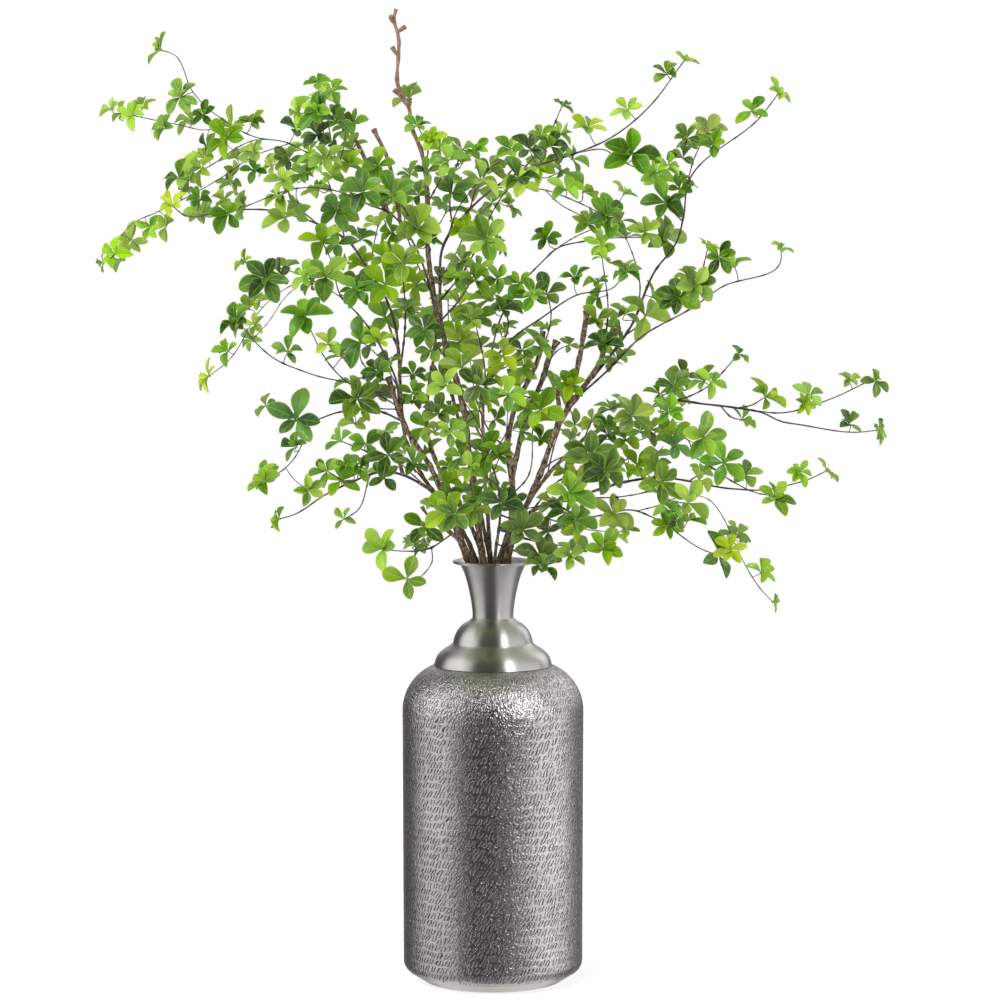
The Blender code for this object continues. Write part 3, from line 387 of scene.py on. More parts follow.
UPPER_RIGHT_BRANCH = Branch(
    "upper_right_branch", (1, 18), 3.4, 1.2,
    ((490, 560, 28), (482, 520, 36), (474, 475, 42), (462, 430, 46), (450, 385, 48), (444, 345, 46),
     (442, 310, 42), (440, 280, 40), (442, 250, 40), (455, 230, 38), (470, 209, 36), (486, 195, 34),
     (500, 184, 30), (524, 170, 24), (545, 164, 16), (562, 158, 8), (587, 149, 0), (605, 141, -8),
     (628, 126, -16), (648, 108, -22), (665, 85, -26), (684, 61, -30)),
    "small",
    (
        Twig(((578, 152), (605, 150), (620, 160), (652, 174)), -60, large=((632, 154),)),
        Twig(((494, 188), (511, 189), (530, 188), (545, 190), (575, 201), (606, 216)), -70, "large"),
        Twig(((545, 190), (560, 200), (572, 208), (590, 220)), 60),
        Twig(((441, 300), (461, 275), (470, 258), (482, 238), (497, 208), (507, 190), (518, 178)), -90,
             "large", large=((486, 240),), thick=1.7),
        Twig(((520, 172), (530, 163), (538, 154), (550, 146)), -70, "large"),
        Twig(((540, 163), (550, 140), (556, 120), (562, 106)), 50, "small", spurs=((588, 128),)),
        Twig(((450, 238), (463, 201), (480, 180)), -60, "large"),
        Twig(((470, 209), (478, 190), (490, 168)), -10, "large"),
        Twig(((455, 230), (450, 190), (462, 150)), 140, large=((440, 150),), thick=1.7),
        Twig(((500, 184), (520, 165), (545, 178), (560, 172)), 140, large=((523, 182),)),
        Twig(((440, 280), (455, 255), (470, 225), (492, 203)), 180, large=((462, 230),), thick=1.7),
        Twig(((442, 310), (420, 270), (405, 225), (410, 175)), 200, large=((412, 215),), thick=1.8),
    ),
    spurs=((628, 110),),
)

BRANCHES = (
    TALL_BRANCH, BROWN_BRANCH, UPPER_LEFT_BRANCH, LEFT_BRANCH, LEFT_LOW_BRANCH, LOW_LEFT_BRANCH,
    FRONT_BRANCH, STUB_BRANCH, RIGHT_TRUNK, RIGHT_BRANCH, RIGHT_LOW_BRANCH, CENTRE_BRANCH, UPPER_RIGHT_BRANCH,
)

# Places beside the wood where only the finished branches have a whorl
EXTRA_SPURS = {
    "right_trunk": ((570, 440), (571, 386), (597, 320), (598, 298), (603, 345), (611, 364), (625, 272),
        (625, 314), (652, 297), (659, 182), (680, 189), (683, 158), (687, 138), (687, 275), (692, 146),
        (713, 145), (719, 257)),
    "centre_branch": ((440, 375), (456, 332), (460, 305), (460, 342), (470, 320), (481, 347), (495, 312),
        (495, 420), (496, 375), (501, 310), (501, 313), (501, 333), (503, 356), (510, 380), (512, 300),
        (520, 283), (522, 350), (575, 278), (598, 282), (601, 244), (645, 232)),
    "upper_left_branch": ((200, 200), (202, 214), (202, 214), (224, 200), (272, 166), (289, 160),
        (301, 174), (305, 176), (318, 168), (318, 190), (337, 245), (345, 205), (360, 240), (360, 285),
        (361, 263), (384, 258), (398, 270), (406, 309), (410, 316), (413, 375), (413, 393), (413, 401)),
    "left_branch": ((228, 351), (237, 322), (249, 309), (255, 325), (258, 302), (265, 482), (281, 275),
        (286, 268), (296, 447), (305, 276), (308, 490), (312, 284), (320, 255), (328, 344), (342, 357),
        (351, 382), (355, 424), (356, 293), (357, 289), (361, 409), (372, 343), (378, 396), (379, 371),
        (379, 373), (380, 341), (380, 341), (380, 395), (389, 364), (448, 497)),
    "right_low_branch": ((500, 490), (505, 455), (548, 532), (553, 505), (564, 473), (565, 513), (575, 480),
        (575, 528), (578, 535), (578, 535), (595, 455), (612, 468), (624, 530), (628, 473), (637, 466),
        (655, 458), (655, 469), (659, 494), (660, 495), (667, 526), (671, 511), (676, 521), (688, 520),
        (699, 481), (730, 549), (737, 535), (746, 475), (800, 472)),
    "brown_branch": ((111, 109), (115, 254), (122, 259), (132, 116), (132, 240), (142, 108), (166, 226),
        (168, 204), (179, 178), (181, 97), (189, 190), (190, 119), (202, 168), (202, 169), (202, 169),
        (204, 158), (207, 146), (228, 180), (231, 184), (232, 127), (237, 158), (254, 153), (254, 170),
        (281, 196), (283, 181), (296, 129), (300, 204), (310, 152), (314, 109), (317, 135), (318, 112),
        (325, 159), (332, 143), (332, 177), (333, 92), (337, 122), (346, 167), (351, 164), (352, 150),
        (354, 123), (392, 233), (407, 238), (426, 427), (429, 452), (431, 351), (435, 432), (447, 483),
        (451, 467), (458, 476), (462, 491)),
    "stub_branch": ((468, 335), (479, 411), (485, 400), (505, 330), (514, 506), (524, 366), (525, 409),
        (530, 345), (533, 296), (534, 296), (534, 296), (540, 440), (548, 329)),
    "upper_right_branch": ((400, 200), (402, 206), (414, 281), (416, 285), (417, 190), (428, 240),
        (441, 282), (448, 180), (451, 408), (452, 193), (462, 163), (463, 163), (463, 164), (463, 182),
        (470, 245), (475, 150), (476, 191), (480, 215), (496, 243), (502, 170), (508, 206), (510, 149),
        (515, 154), (530, 150), (539, 170), (540, 165), (541, 136), (560, 134), (561, 157), (566, 190),
        (572, 159), (583, 192), (588, 224), (621, 221), (624, 194), (667, 74), (668, 165)),
    "tall_branch": ((419, 195), (427, 171), (432, 139), (442, 217), (442, 217), (443, 217), (455, 278),
        (456, 389), (462, 262), (473, 511), (475, 281), (475, 282), (476, 492), (497, 279)),
    "low_left_branch": ((414, 541), (416, 546), (428, 545), (429, 547), (429, 547), (441, 521), (455, 514)),
    "front_branch": ((450, 432), (466, 425), (472, 468), (480, 500), (486, 470), (489, 482), (498, 455),
        (520, 432), (540, 566), (542, 567), (569, 556)),
    "left_low_branch": ((341, 481), (346, 466), (359, 469), (362, 464), (365, 474), (366, 444), (405, 452),
        (413, 464), (432, 506)),
    "right_branch": ((592, 420), (606, 426), (608, 435), (612, 410), (625, 440), (640, 431), (650, 430),
        (659, 394), (669, 407), (669, 413), (674, 386), (677, 444), (683, 376), (711, 382), (775, 500),
        (803, 404), (848, 381), (849, 424), (875, 381), (878, 432)),
}


@dataclass
class Stick:
    """A laid-out length of wood: its points in space, its radius along them, and what its tip holds."""
    sheet: list
    points: list
    radii: list
    tip: str


def place(across, down, depth):
    """The point in space that shows at (across, down) on the sheet, depth millimetres behind the axis."""
    right = (across - SHEET_CENTRE) / SHEET_FOCAL
    rise = (SHEET_CENTRE - down) / SHEET_FOCAL
    ahead = math.cos(VIEW_PITCH) + rise * math.sin(VIEW_PITCH)
    climb = rise * math.cos(VIEW_PITCH) - math.sin(VIEW_PITCH)
    reach = (depth * MM + VIEW_DISTANCE) / ahead
    return Vector((VIEW_SIDE + right * reach, depth * MM, VIEW_HEIGHT + climb * reach))


def draws_at(across, down):
    """The random draws of the whorl at a place of the sheet: the same ones whatever else is built."""
    return random.Random(SEED + round(across) * SEED_STRIDE + round(down))


def bends(points, first, last):
    """The points between two others that a straight run would miss by more than the tolerance."""
    run = points[last] - points[first]
    worst, away = None, BEND_TOLERANCE * MM
    for i in range(first + 1, last):
        share = (points[i] - points[first]).dot(run) / run.length_squared
        miss = (points[first] + run * share - points[i]).length
        if miss > away:
            worst, away = i, miss
    if worst is None:
        return []
    return bends(points, first, worst) + [worst] + bends(points, worst, last)


def at_bends(drawn):
    """A drawn route without the points that hardly bend it."""
    points = [place(*point) for point in drawn]
    last = len(points) - 1
    return [drawn[i] for i in [0] + bends(points, 0, last) + [last]]


def shares_along(route):
    """How far along a route each of its points lies, from 0 to 1."""
    lengths = [0.0]
    for before, after in zip(route, route[1:]):
        lengths.append(lengths[-1] + math.dist(before, after))
    return [length / lengths[-1] for length in lengths]


def taper(points, start, end):
    """Radii in metres that shrink evenly along the points."""
    return [(start + (end - start) * share) * MM for share in shares_along(points)]


def lay_trunk(branch):
    """The trunk from just above the vase's floor, through the throat, to its end."""
    throat = Vector((branch.throat[0] * MM, branch.throat[1] * MM, THROAT_HEIGHT * MM))
    foot = Vector((throat.x * STEM_SPREAD, throat.y * STEM_SPREAD, STEM_FOOT_HEIGHT * MM))
    flare = Vector((throat.x * FLARE_SPREAD, throat.y * FLARE_SPREAD, FLARE_HEIGHT * MM))
    drawn = at_bends(branch.trunk)
    points = [foot, throat, flare] + [place(*point) for point in drawn]
    above = taper(points[1:], branch.thick, branch.thin)
    radii = [branch.thick * MM] + above
    sheet = [None, None, None] + drawn
    return Stick(sheet, points, radii, branch.tip)


def nearest(sticks, across, down):
    """The place, depth and radius of the drawn wood that passes nearest to a point of the sheet."""
    best = None
    for stick in sticks:
        for i in range(len(stick.sheet) - 1):
            if stick.sheet[i] is None:
                continue
            ax, ay, az = stick.sheet[i]
            bx, by, bz = stick.sheet[i + 1]
            run = (bx - ax) ** 2 + (by - ay) ** 2
            share = min(1.0, max(0.0, ((across - ax) * (bx - ax) + (down - ay) * (by - ay)) / run))
            x, y = ax + share * (bx - ax), ay + share * (by - ay)
            away = math.hypot(across - x, down - y)
            if best is None or away < best[0]:
                radius = stick.radii[i] + share * (stick.radii[i + 1] - stick.radii[i])
                best = (away, x, y, az + share * (bz - az), radius)
    return best[1:]


def lay_twig(twig, sticks):
    """A twig from the middle of the wood that it grows on, running evenly to its tip's depth."""
    x, y, depth, radius = nearest(sticks, *twig.route[0])
    route = [(x, y)] + list(twig.route[1:])
    drawn = [(px, py, depth + (twig.depth - depth) * share)
             for (px, py), share in zip(route, shares_along(route))]
    sheet = at_bends(drawn)
    points = [place(*point) for point in sheet]
    thick = min(twig.thick, radius / MM * TWIG_SHARE)
    end = thick if twig.tip == "cut" else TWIG_END_RADIUS
    return Stick(sheet, points, taper(points, thick, min(thick, end)), twig.tip)


class Crowd:
    """Remembers where wood and whorls already are, so that no branch's whorl grows into another branch."""

    def __init__(self):
        self.wood = []
        self.whorls = []

    def add_stick(self, owner, stick):
        """Takes in a stick's wood."""
        for start, end, radius in zip(stick.points, stick.points[1:], stick.radii):
            self.wood.append((owner, start, end, radius))

    def is_clear(self, owner, centre, radius):
        """Whether a whorl here would keep clear of the other whorls and of other branches' wood."""
        for other, middle, reach in self.whorls:
            room = CLEARANCE if other != owner else OWN_CLEARANCE
            if (middle - centre).length < (radius + reach) * room:
                return False
        for other, start, end, thickness in self.wood:
            if other == owner:
                continue
            run = end - start
            share = min(1.0, max(0.0, (centre - start).dot(run) / run.length_squared))
            if (start + run * share - centre).length < radius * CLEARANCE + thickness:
                return False
        return True

    def claim(self, owner, across, down, depth, radius):
        """The first free depth near the wanted one, or None."""
        for shift in DEPTH_TRIES:
            centre = place(across, down, depth + shift)
            if self.is_clear(owner, centre, radius):
                self.whorls.append((owner, centre, radius))
                return depth + shift
        return None


def steady_side(points):
    """The axis that lies most nearly square to every stretch of a route."""
    axes = (Vector((1, 0, 0)), Vector((0, 1, 0)), Vector((0, 0, 1)))
    runs = [(after - before).normalized() for before, after in zip(points, points[1:])]
    return min(axes, key=lambda axis: max(abs(run.dot(axis)) for run in runs))


def lay_branch(branch, crowd):
    """Every stick of a branch: its trunk and its twigs."""
    trunk = lay_trunk(branch)
    sticks = [trunk]
    for twig in branch.twigs:
        sticks.append(lay_twig(twig, sticks))
    for stick in sticks:
        crowd.add_stick(branch.name, stick)
    return sticks


def settle_tips(branch, sticks, crowd):
    """Moves each leafy tip to a free depth. A tip that finds none is left bare."""
    for stick in sticks:
        if stick.tip == "cut":
            continue
        across, down, depth = stick.sheet[-1]
        free = crowd.claim(branch.name, across, down, depth, LEAF_LENGTH[stick.tip] * MM)
        if free is None:
            stick.tip = "cut"
            continue
        stick.sheet[-1] = (across, down, free)
        stick.points[-1] = place(across, down, free)


def settle_spurs(name, sticks, marks, crowd):
    """A short spur with a whorl for each marked place beside the wood, at a free depth."""
    spurs = []
    for (across, down), kind in marks:
        x, y, depth, radius = nearest(sticks, across, down)
        forward = draws_at(across, down).uniform(*FORWARD[kind])
        free = crowd.claim(name, across, down, depth - forward, LEAF_LENGTH[kind] * MM)
        if free is None:
            continue
        points = [place(x, y, depth), place(across, down, free)]
        thick = min(SPUR_RADIUS * MM, radius * SPUR_SHARE)
        spurs.append(Stick([(x, y, depth), (across, down, free)], points, [thick, thick], kind))
    return spurs


@functools.cache
def layout():
    """The sticks of every branch, by its name: those of the model, and then the added ones."""
    crowd = Crowd()
    laid = {branch.name: lay_branch(branch, crowd) for branch in BRANCHES}
    for branch in BRANCHES:
        settle_tips(branch, laid[branch.name], crowd)
    spurs = {}
    for branch in BRANCHES:
        marks = [(mark, "leafy") for mark in branch.spurs] + [(mark, "large") for mark in branch.large]
        for twig in branch.twigs:
            marks += [(mark, "leafy") for mark in twig.spurs] + [(mark, "large") for mark in twig.large]
        spurs[branch.name] = settle_spurs(branch.name, laid[branch.name], marks, crowd)
    for name, marks in EXTRA_SPURS.items():
        spurs[name] += settle_spurs(name, laid[name], [(mark, "added") for mark in marks], crowd)
    return {name: sticks + spurs[name] for name, sticks in laid.items()}


def linear(text):
    """A colour's linear red, green and blue from its sRGB hex."""
    channels = [int(text[i:i + 2], 16) / 255 for i in (0, 2, 4)]
    return tuple(c / 12.92 if c <= 0.04045 else ((c + 0.055) / 1.055) ** 2.4 for c in channels)


def colour(name, description, text):
    """A colour property that starts at an sRGB hex value."""
    return bpy.props.FloatVectorProperty(name=name, description=description, default=linear(text),
                                         size=3, min=0.0, max=1.0, subtype="COLOR")


def length_setting(name, description, metres, least=0.0):
    """A length that the user can change, in metres."""
    return bpy.props.FloatProperty(name=name, description=description, default=metres, min=least,
                                   unit="LENGTH")


def share_setting(name, description, default, least, most):
    """A share of something that the user can change."""
    return bpy.props.FloatProperty(name=name, description=description, default=default, min=least, max=most)


class VaseSettings(bpy.types.PropertyGroup):
    """Sizes and colours of the vase."""
    sides: bpy.props.IntProperty(name="Sides", description="Facets round the smooth pieces",
                                 default=144, min=24)
    body_sides: bpy.props.IntProperty(name="Body sides", description="Facets round the hammered body",
                                      default=320, min=24)
    row_pitch: length_setting("Row pitch", "Height of a row of hammered dents", 0.0101, 0.002)
    dent_depth: length_setting("Dent depth", "Depth of a hammered dent", 0.0003)
    pebble_size: length_setting("Pebble size", "Width of a dent on the shoulder", 0.0044, 0.001)
    dark_nickel: colour("Dark nickel", "The hammered body's plating", "DCD6D9")
    tarnish: colour("Tarnish", "What is left in the punch marks", "3A3537")
    satin_nickel: colour("Satin nickel", "The spun neck's plating", "D4D1CE")
    pale_nickel: colour("Pale nickel", "The foot's plating", "E5E1DE")


class FoliageSettings(bpy.types.PropertyGroup):
    """Sizes and colours of the leaves."""
    thickness: share_setting("Thickness", "A leaf's thickness at its rib, as a share of its length",
                             0.022, 0.005, 0.1)
    deep_green: colour("Deep green", "The darkest leaves", "315717")
    mid_green: colour("Mid green", "Most leaves", "72A230")
    # Reached by young whorls and by painted light on whorls at the back and far out; also the pale rim's
    # colour, partly painted rim light
    young_and_lit_green: colour("Young green", "The youngest leaves", "B2D644")
    underside: colour("Underside", "The pale side of a leaf", "A3BF62")
    rib: colour("Rib", "The midrib and veins", "BCD484")
    bud: colour("Bud", "The bud in a whorl's middle", "A6B95A")


class WoodSettings(bpy.types.PropertyGroup):
    """Sizes and colours of the wood."""
    stem_step: length_setting("Stem step", "Distance between a stem's rings", 0.0042, 0.001)
    twig_step: length_setting("Twig step", "Distance between a twig's rings", 0.0055, 0.001)
    stem_share: share_setting("Stem share", "A stem's core beside its solid, which knots and bark fill up",
                              0.84, 0.5, 1.0)
    twig_share: share_setting("Twig share", "A twig's core beside its solid, which knots fill up",
                              0.9, 0.5, 1.0)
    bark_relief: length_setting("Bark relief", "How far the bark's bumps stand out", 0.0016)
    bark_dark: colour("Dark bark", "The bark's cracks", "201812")
    bark_mid: colour("Bark", "The bark's own brown", "6C5645")
    bark_pale: colour("Pale bark", "Weathered spots on the bark", "BCA48C")
    bark_young: colour("Young bark", "The bark at the tallest stems' tops", "A2786A")
    twig_bark: colour("Twig bark", "The smooth bark of twigs", "33262A")
    twig_pale: colour("Pale twig bark", "Where a twig's bark has greyed", "75656A")
    sawn: colour("Sawn wood", "A stem's cut end", "A98866")


class StudioSettings(bpy.types.PropertyGroup):
    """Floor, light and view."""
    floor_size: length_setting("Floor", "Side of the square floor", 8.0, 1.0)
    ambient: bpy.props.FloatProperty(name="Ambient", description="Brightness of the light from all round",
                                     default=0.55, min=0.0)
    key_power: bpy.props.FloatProperty(name="Key light", description="Power of the soft light from above",
                                       default=140.0, min=0.0, unit="POWER")
    floor_colour: colour("Floor colour", "The pale floor", "BCBCBC")


class BranchVaseSettings(bpy.types.PropertyGroup):
    """Everything that a user would change."""
    vase: bpy.props.PointerProperty(type=VaseSettings)
    foliage: bpy.props.PointerProperty(type=FoliageSettings)
    wood: bpy.props.PointerProperty(type=WoodSettings)
    studio: bpy.props.PointerProperty(type=StudioSettings)


def settings():
    """All settings of this scene."""
    return bpy.context.scene.branch_vase


def deselect():
    """Nothing selected and nothing active, in object mode."""
    if bpy.context.object and bpy.context.object.mode != "OBJECT":
        bpy.ops.object.mode_set(mode="OBJECT")
    for thing in bpy.context.selected_objects:
        thing.select_set(False)
    bpy.context.view_layer.objects.active = None


def choose(*things):
    """Selects these objects alone, and makes the first one active."""
    deselect()
    for thing in things:
        thing.select_set(True)
    bpy.context.view_layer.objects.active = things[0]


def fill_inputs(tree, node, inputs):
    """Sets a node's inputs: each to a value, or to what comes out of another node."""
    for name, value in inputs.items():
        if isinstance(value, bpy.types.Node):
            value = value.outputs[0]
        if isinstance(value, bpy.types.NodeSocket):
            tree.links.new(value, node.inputs[name])
        else:
            node.inputs[name].default_value = value


def add_node(tree, kind, inputs, **props):
    """Adds a node with its properties, and with its inputs' values and links."""
    made = tree.nodes.new(kind)
    for name, value in props.items():
        setattr(made, name, value)
    fill_inputs(tree, made, inputs)
    return made


def spread_stops(ramp, stops):
    """Gives a colour ramp its (position, colour) stops."""
    elements = ramp.color_ramp.elements
    while len(elements) < len(stops):
        elements.new(1.0)
    for element, (position, shade) in zip(elements, stops):
        element.position = position
        element.color = (*shade, 1.0)


# A mix node's colour sockets, by number, since its sockets for every kind of value have the same names
COLOUR_A = 6
COLOUR_B = 7
COLOUR_OUT = 2


def new_material(name):
    """A material with an empty node tree but for its Principled shader and output."""
    made = bpy.data.materials.new(name)
    made.use_nodes = True
    return made, made.node_tree, made.node_tree.nodes["Principled BSDF"]


def edit_all(thing):
    """Enters edit mode on one object, with its whole mesh selected."""
    choose(thing)
    bpy.ops.object.mode_set(mode="EDIT")
    bpy.ops.mesh.select_all(action="SELECT")


def linked(name, data):
    """An object of this mesh or curve, in the scene."""
    thing = bpy.data.objects.new(name, data)
    bpy.context.scene.collection.objects.link(thing)
    return thing


def spin(name, outline, sides):
    """A closed turned piece: an outline of (radius, height) in metres, spun round the vase's axis."""
    edges = [(i, i + 1) for i in range(len(outline) - 1)]
    if outline[0][0] > 0.0:
        edges.append((len(outline) - 1, 0))
    data = bpy.data.meshes.new(name)
    data.from_pydata([(radius, 0.0, height) for radius, height in outline], edges, ())
    thing = linked(name, data)
    edit_all(thing)
    bpy.ops.mesh.spin(steps=sides, angle=math.tau, center=(0, 0, 0), axis=(0, 0, 1))
    bpy.ops.mesh.select_all(action="SELECT")
    bpy.ops.mesh.remove_doubles(threshold=WELD)
    bpy.ops.mesh.normals_make_consistent(inside=False)
    bpy.ops.object.mode_set(mode="OBJECT")
    return thing


def arc(centre_out, centre_up, radius, start, end, steps):
    """Points of an outline's arc. Angles in degrees, from straight out, upwards."""
    points = []
    for i in range(steps + 1):
        angle = math.radians(start + (end - start) * i / steps)
        points.append((centre_out + radius * math.cos(angle), centre_up + radius * math.sin(angle)))
    return points


def rounded(points, steps):
    """A smooth line through the points of an outline, with as many steps between each two."""
    ends = [Vector(p) for p in points]
    line = []
    for (start, tangent), (end, next_tangent) in zip(with_tangents(ends), with_tangents(ends)[1:]):
        span = (end - start).length
        for step in range(steps):
            line.append(hermite(start, tangent * span, end, next_tangent * span, step / steps))
    return [tuple(p) for p in line] + [tuple(ends[-1])]


def with_tangents(points):
    """Each point of a route with the direction in which a smooth curve passes it."""
    gaps = [(after - before).length for before, after in zip(points, points[1:])]
    slopes = [(after - before) / gap for before, after, gap in zip(points, points[1:], gaps)]
    inner = [(slopes[i] * gaps[i + 1] + slopes[i + 1] * gaps[i]) / (gaps[i] + gaps[i + 1])
             for i in range(len(gaps) - 1)]
    return list(zip(points, [slopes[0]] + inner + [slopes[-1]]))


def hermite(start, leaving, end, arriving, share):
    """The point at a share of the way along a cubic curve."""
    square, cube = share ** 2, share ** 3
    return (start * (2 * cube - 3 * square + 1) + leaving * (cube - 2 * square + share)
            + end * (3 * square - 2 * cube) + arriving * (cube - square))


# Vase outlines, in millimetres, as in the model
WALL = 2.0
FOOT_HEIGHT = 13.7
BODY_BASE = 14.0
FLOOR_THICKNESS = 3.0
HEEL_RADIUS = 16.5
HEEL_HEIGHT = 26.9
HEEL_OUT = 111.8
BELLY_RADIUS = 112.7
SHOULDER_RADIUS = 60.0
SHOULDER_HEIGHT = 340.0
BODY_MOUTH = 60.0
FOOT_EDGE = ((80.0, 0.0), (84.5, 1.0), (90.0, 4.3), (95.5, 8.2), (100.5, 11.2), (102.8, FOOT_HEIGHT))
LOWER_DOME = ((73.4, 396.6), (71.9, 402.5), (68.8, 409.0), (62.9, 415.0), (54.4, 420.5), (50.0, 424.0))
UPPER_DOME = ((50.0, 424.0), (47.8, 432.5), (44.2, 440.0), (37.3, 447.6), (29.4, 452.2), (25.3, 456.0))
FLARE = ((25.3, 456.0), (25.6, 464.0), (26.6, 472.5), (28.1, 482.0), (30.3, 492.0), (32.7, 502.0),
         (35.9, 512.0), (39.8, 520.6), (41.0, 523.0))
RIM = ((41.0, 523.0), (45.0, 523.5), (48.8, 523.7), (50.0, 525.3), (49.0, 527.0), (45.0, 526.4),
       (37.0, 520.4))
FLARE_INSIDE = ((37.0, 520.4), (33.6, 512.0), (30.7, 502.0), (28.2, 492.0), (26.0, 482.0), (24.5, 472.5),
                (23.5, 464.0), (23.0, 455.6))
UPPER_INSIDE = ((23.0, 455.6), (28.0, 450.4), (35.8, 445.9), (42.4, 439.0), (45.9, 431.6), (47.8, 423.2))
LOWER_INSIDE = ((47.8, 423.2), (53.0, 418.6), (61.3, 413.2), (67.0, 407.6), (69.8, 401.8), (71.2, 397.4))

# How finely the vase is drawn: steps between an outline's points, and the body's rows
OUTLINE_STEPS = 4
BODY_ROWS = 246
SHOULDER_SHARE = 0.24
HEEL_ROWS = 14
INNER_STEPS = 8
WELD = 0.00001
SHARP = math.radians(38)

# The hammered dents: how far they stray in their cells, how their strengths vary, and how round they are
ROW_JITTER = 0.3
PEBBLE_JITTER = 0.8
ROW_SALT = 1
PEBBLE_SALT = 7
ROW_SHIFT = 0.8
LEAST_DENT = 0.45
DENT_FALL = 5.0
ROW_STRENGTH = 0.35
SHOULDER_STRENGTH = 0.8

# What counts as the outer wall, how far the dents fade in above its base, and from where below the shoulder
# the rows turn to pebbles, in millimetres
SMOOTH_BAND = 2.5
HEEL_BAND = 10.0
MOUTH_BAND = 0.5
BASE_FADE = 6.0
BLEND_FROM = 30.0
BLEND_LENGTH = 50.0


def in_metres(outline):
    """An outline that is given in millimetres, in metres."""
    return [(radius * MM, height * MM) for radius, height in outline]


def finish_piece(thing, slot, *nodes):
    """Smooth shading up to sharp edges, and the piece's place in the frame."""
    choose(thing)
    bpy.ops.object.shade_smooth_by_angle(angle=SHARP)
    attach(thing, "root")
    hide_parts(*nodes)


class MakeFoot(bpy.types.Operator):
    """Spins the smooth foot plate"""
    bl_idname = "branch_vase.make_foot"
    bl_label = "Foot"

    def execute(self, context):
        edge = rounded(in_metres(FOOT_EDGE), OUTLINE_STEPS)
        foot = spin("foot_plate", [(0.0, 0.0)] + edge + [(0.0, FOOT_HEIGHT * MM)], settings().vase.sides)
        plate = satin_plating("pale_nickel_plate", settings().vase.pale_nickel, FOOT_ROUGHNESS)
        foot.data.materials.append(plate)
        finish_piece(foot, "satin_pewter", "vase_foot")
        return {"FINISHED"}


class MakeNeck(bpy.types.Operator):
    """Spins the neck: two domes, the throat and the flared mouth with its rolled rim"""
    bl_idname = "branch_vase.make_neck"
    bl_label = "Neck"

    def execute(self, context):
        line = []
        for stretch in (LOWER_DOME, UPPER_DOME, FLARE, RIM, FLARE_INSIDE, UPPER_INSIDE, LOWER_INSIDE):
            line += rounded(in_metres(stretch), OUTLINE_STEPS)[:-1]
        line.append(in_metres(LOWER_INSIDE)[-1])
        neck = spin("spun_neck", line, settings().vase.sides)
        plate = satin_plating("spun_nickel_plate", settings().vase.satin_nickel, NECK_ROUGHNESS)
        neck.data.materials.append(plate)
        finish_piece(neck, "satin_pewter", "vase_neck")
        return {"FINISHED"}


def heel_angle(height, radius):
    """The angle on the heel's arc at which the wall has reached a height."""
    return -math.degrees(math.asin((HEEL_HEIGHT - height) / radius))


def body_outline():
    """The hammered body's outline in metres, outer side first, with its side in even rows."""
    heel_centre = HEEL_OUT - HEEL_RADIUS
    shoulder_centre = BELLY_RADIUS - SHOULDER_RADIUS
    top_angle = math.degrees(math.acos((BODY_MOUTH - shoulder_centre) / SHOULDER_RADIUS))
    floor = BODY_BASE + FLOOR_THICKNESS
    inner_heel = HEEL_RADIUS - WALL
    shoulder_rows = round(BODY_ROWS * SHOULDER_SHARE)
    side_rows = BODY_ROWS - shoulder_rows - HEEL_ROWS
    outline = [(0.0, BODY_BASE)]
    outline += arc(heel_centre, HEEL_HEIGHT, HEEL_RADIUS, heel_angle(BODY_BASE, HEEL_RADIUS), 0.0, HEEL_ROWS)
    for row in range(1, side_rows):
        share = row / side_rows
        outline.append((HEEL_OUT + (BELLY_RADIUS - HEEL_OUT) * share,
                        HEEL_HEIGHT + (SHOULDER_HEIGHT - HEEL_HEIGHT) * share))
    outline += arc(shoulder_centre, SHOULDER_HEIGHT, SHOULDER_RADIUS, 0.0, top_angle, shoulder_rows)
    outline += arc(shoulder_centre, SHOULDER_HEIGHT, SHOULDER_RADIUS - WALL, top_angle, 0.0, INNER_STEPS)
    outline += arc(heel_centre, HEEL_HEIGHT, inner_heel, 0.0, heel_angle(floor, inner_heel), INNER_STEPS)
    outline += [(0.0, floor)]
    return in_metres(outline)


# The sine that gives each cell its noise: its steps across, up and for the salt, and how far it's blown up
NOISE_STEPS = (127.1, 311.7, 74.7)
NOISE_BLOWUP = 43758.5453


def cell_noise(across, up, salt):
    """A steady random number from 0 to 1 for each cell of a grid: the end digits of a sine of its place."""
    along, upwards, salted = NOISE_STEPS
    mixed = np.sin(across * along + up * upwards + salt * salted) * NOISE_BLOWUP
    return mixed - np.floor(mixed)


def dents(around, height, girth, size, jitter, salt):
    """How deep dents lie at points of a wall, from 0 to 1: one in each cell, each a little off its place."""
    count = np.round(girth / size)
    depth = np.zeros_like(height)
    up = height / size
    for row_step in (-1, 0, 1):
        row = np.floor(up) + row_step
        across = around * count + (row % 2) * 0.5 + cell_noise(row, 0 * row, salt) * ROW_SHIFT
        for step in (-1, 0, 1):
            cell = np.floor(across) + step
            key = cell % count
            middle = cell + 0.5 + (cell_noise(key, row, salt + 1) - 0.5) * jitter
            level = row + 0.5 + (cell_noise(key, row, salt + 2) - 0.5) * jitter
            strength = LEAST_DENT + (1 - LEAST_DENT) * cell_noise(key, row, salt + 3)
            away = (across - middle) ** 2 + (up - level) ** 2
            depth = np.maximum(depth, strength * np.exp(-away * DENT_FALL))
    return depth


def coordinates(mesh, layer="co"):
    """A mesh's vertices, or another of their layers, as an array."""
    places = np.zeros(len(mesh.vertices) * 3)
    mesh.vertices.foreach_get(layer, places)
    return places.reshape(-1, 3)


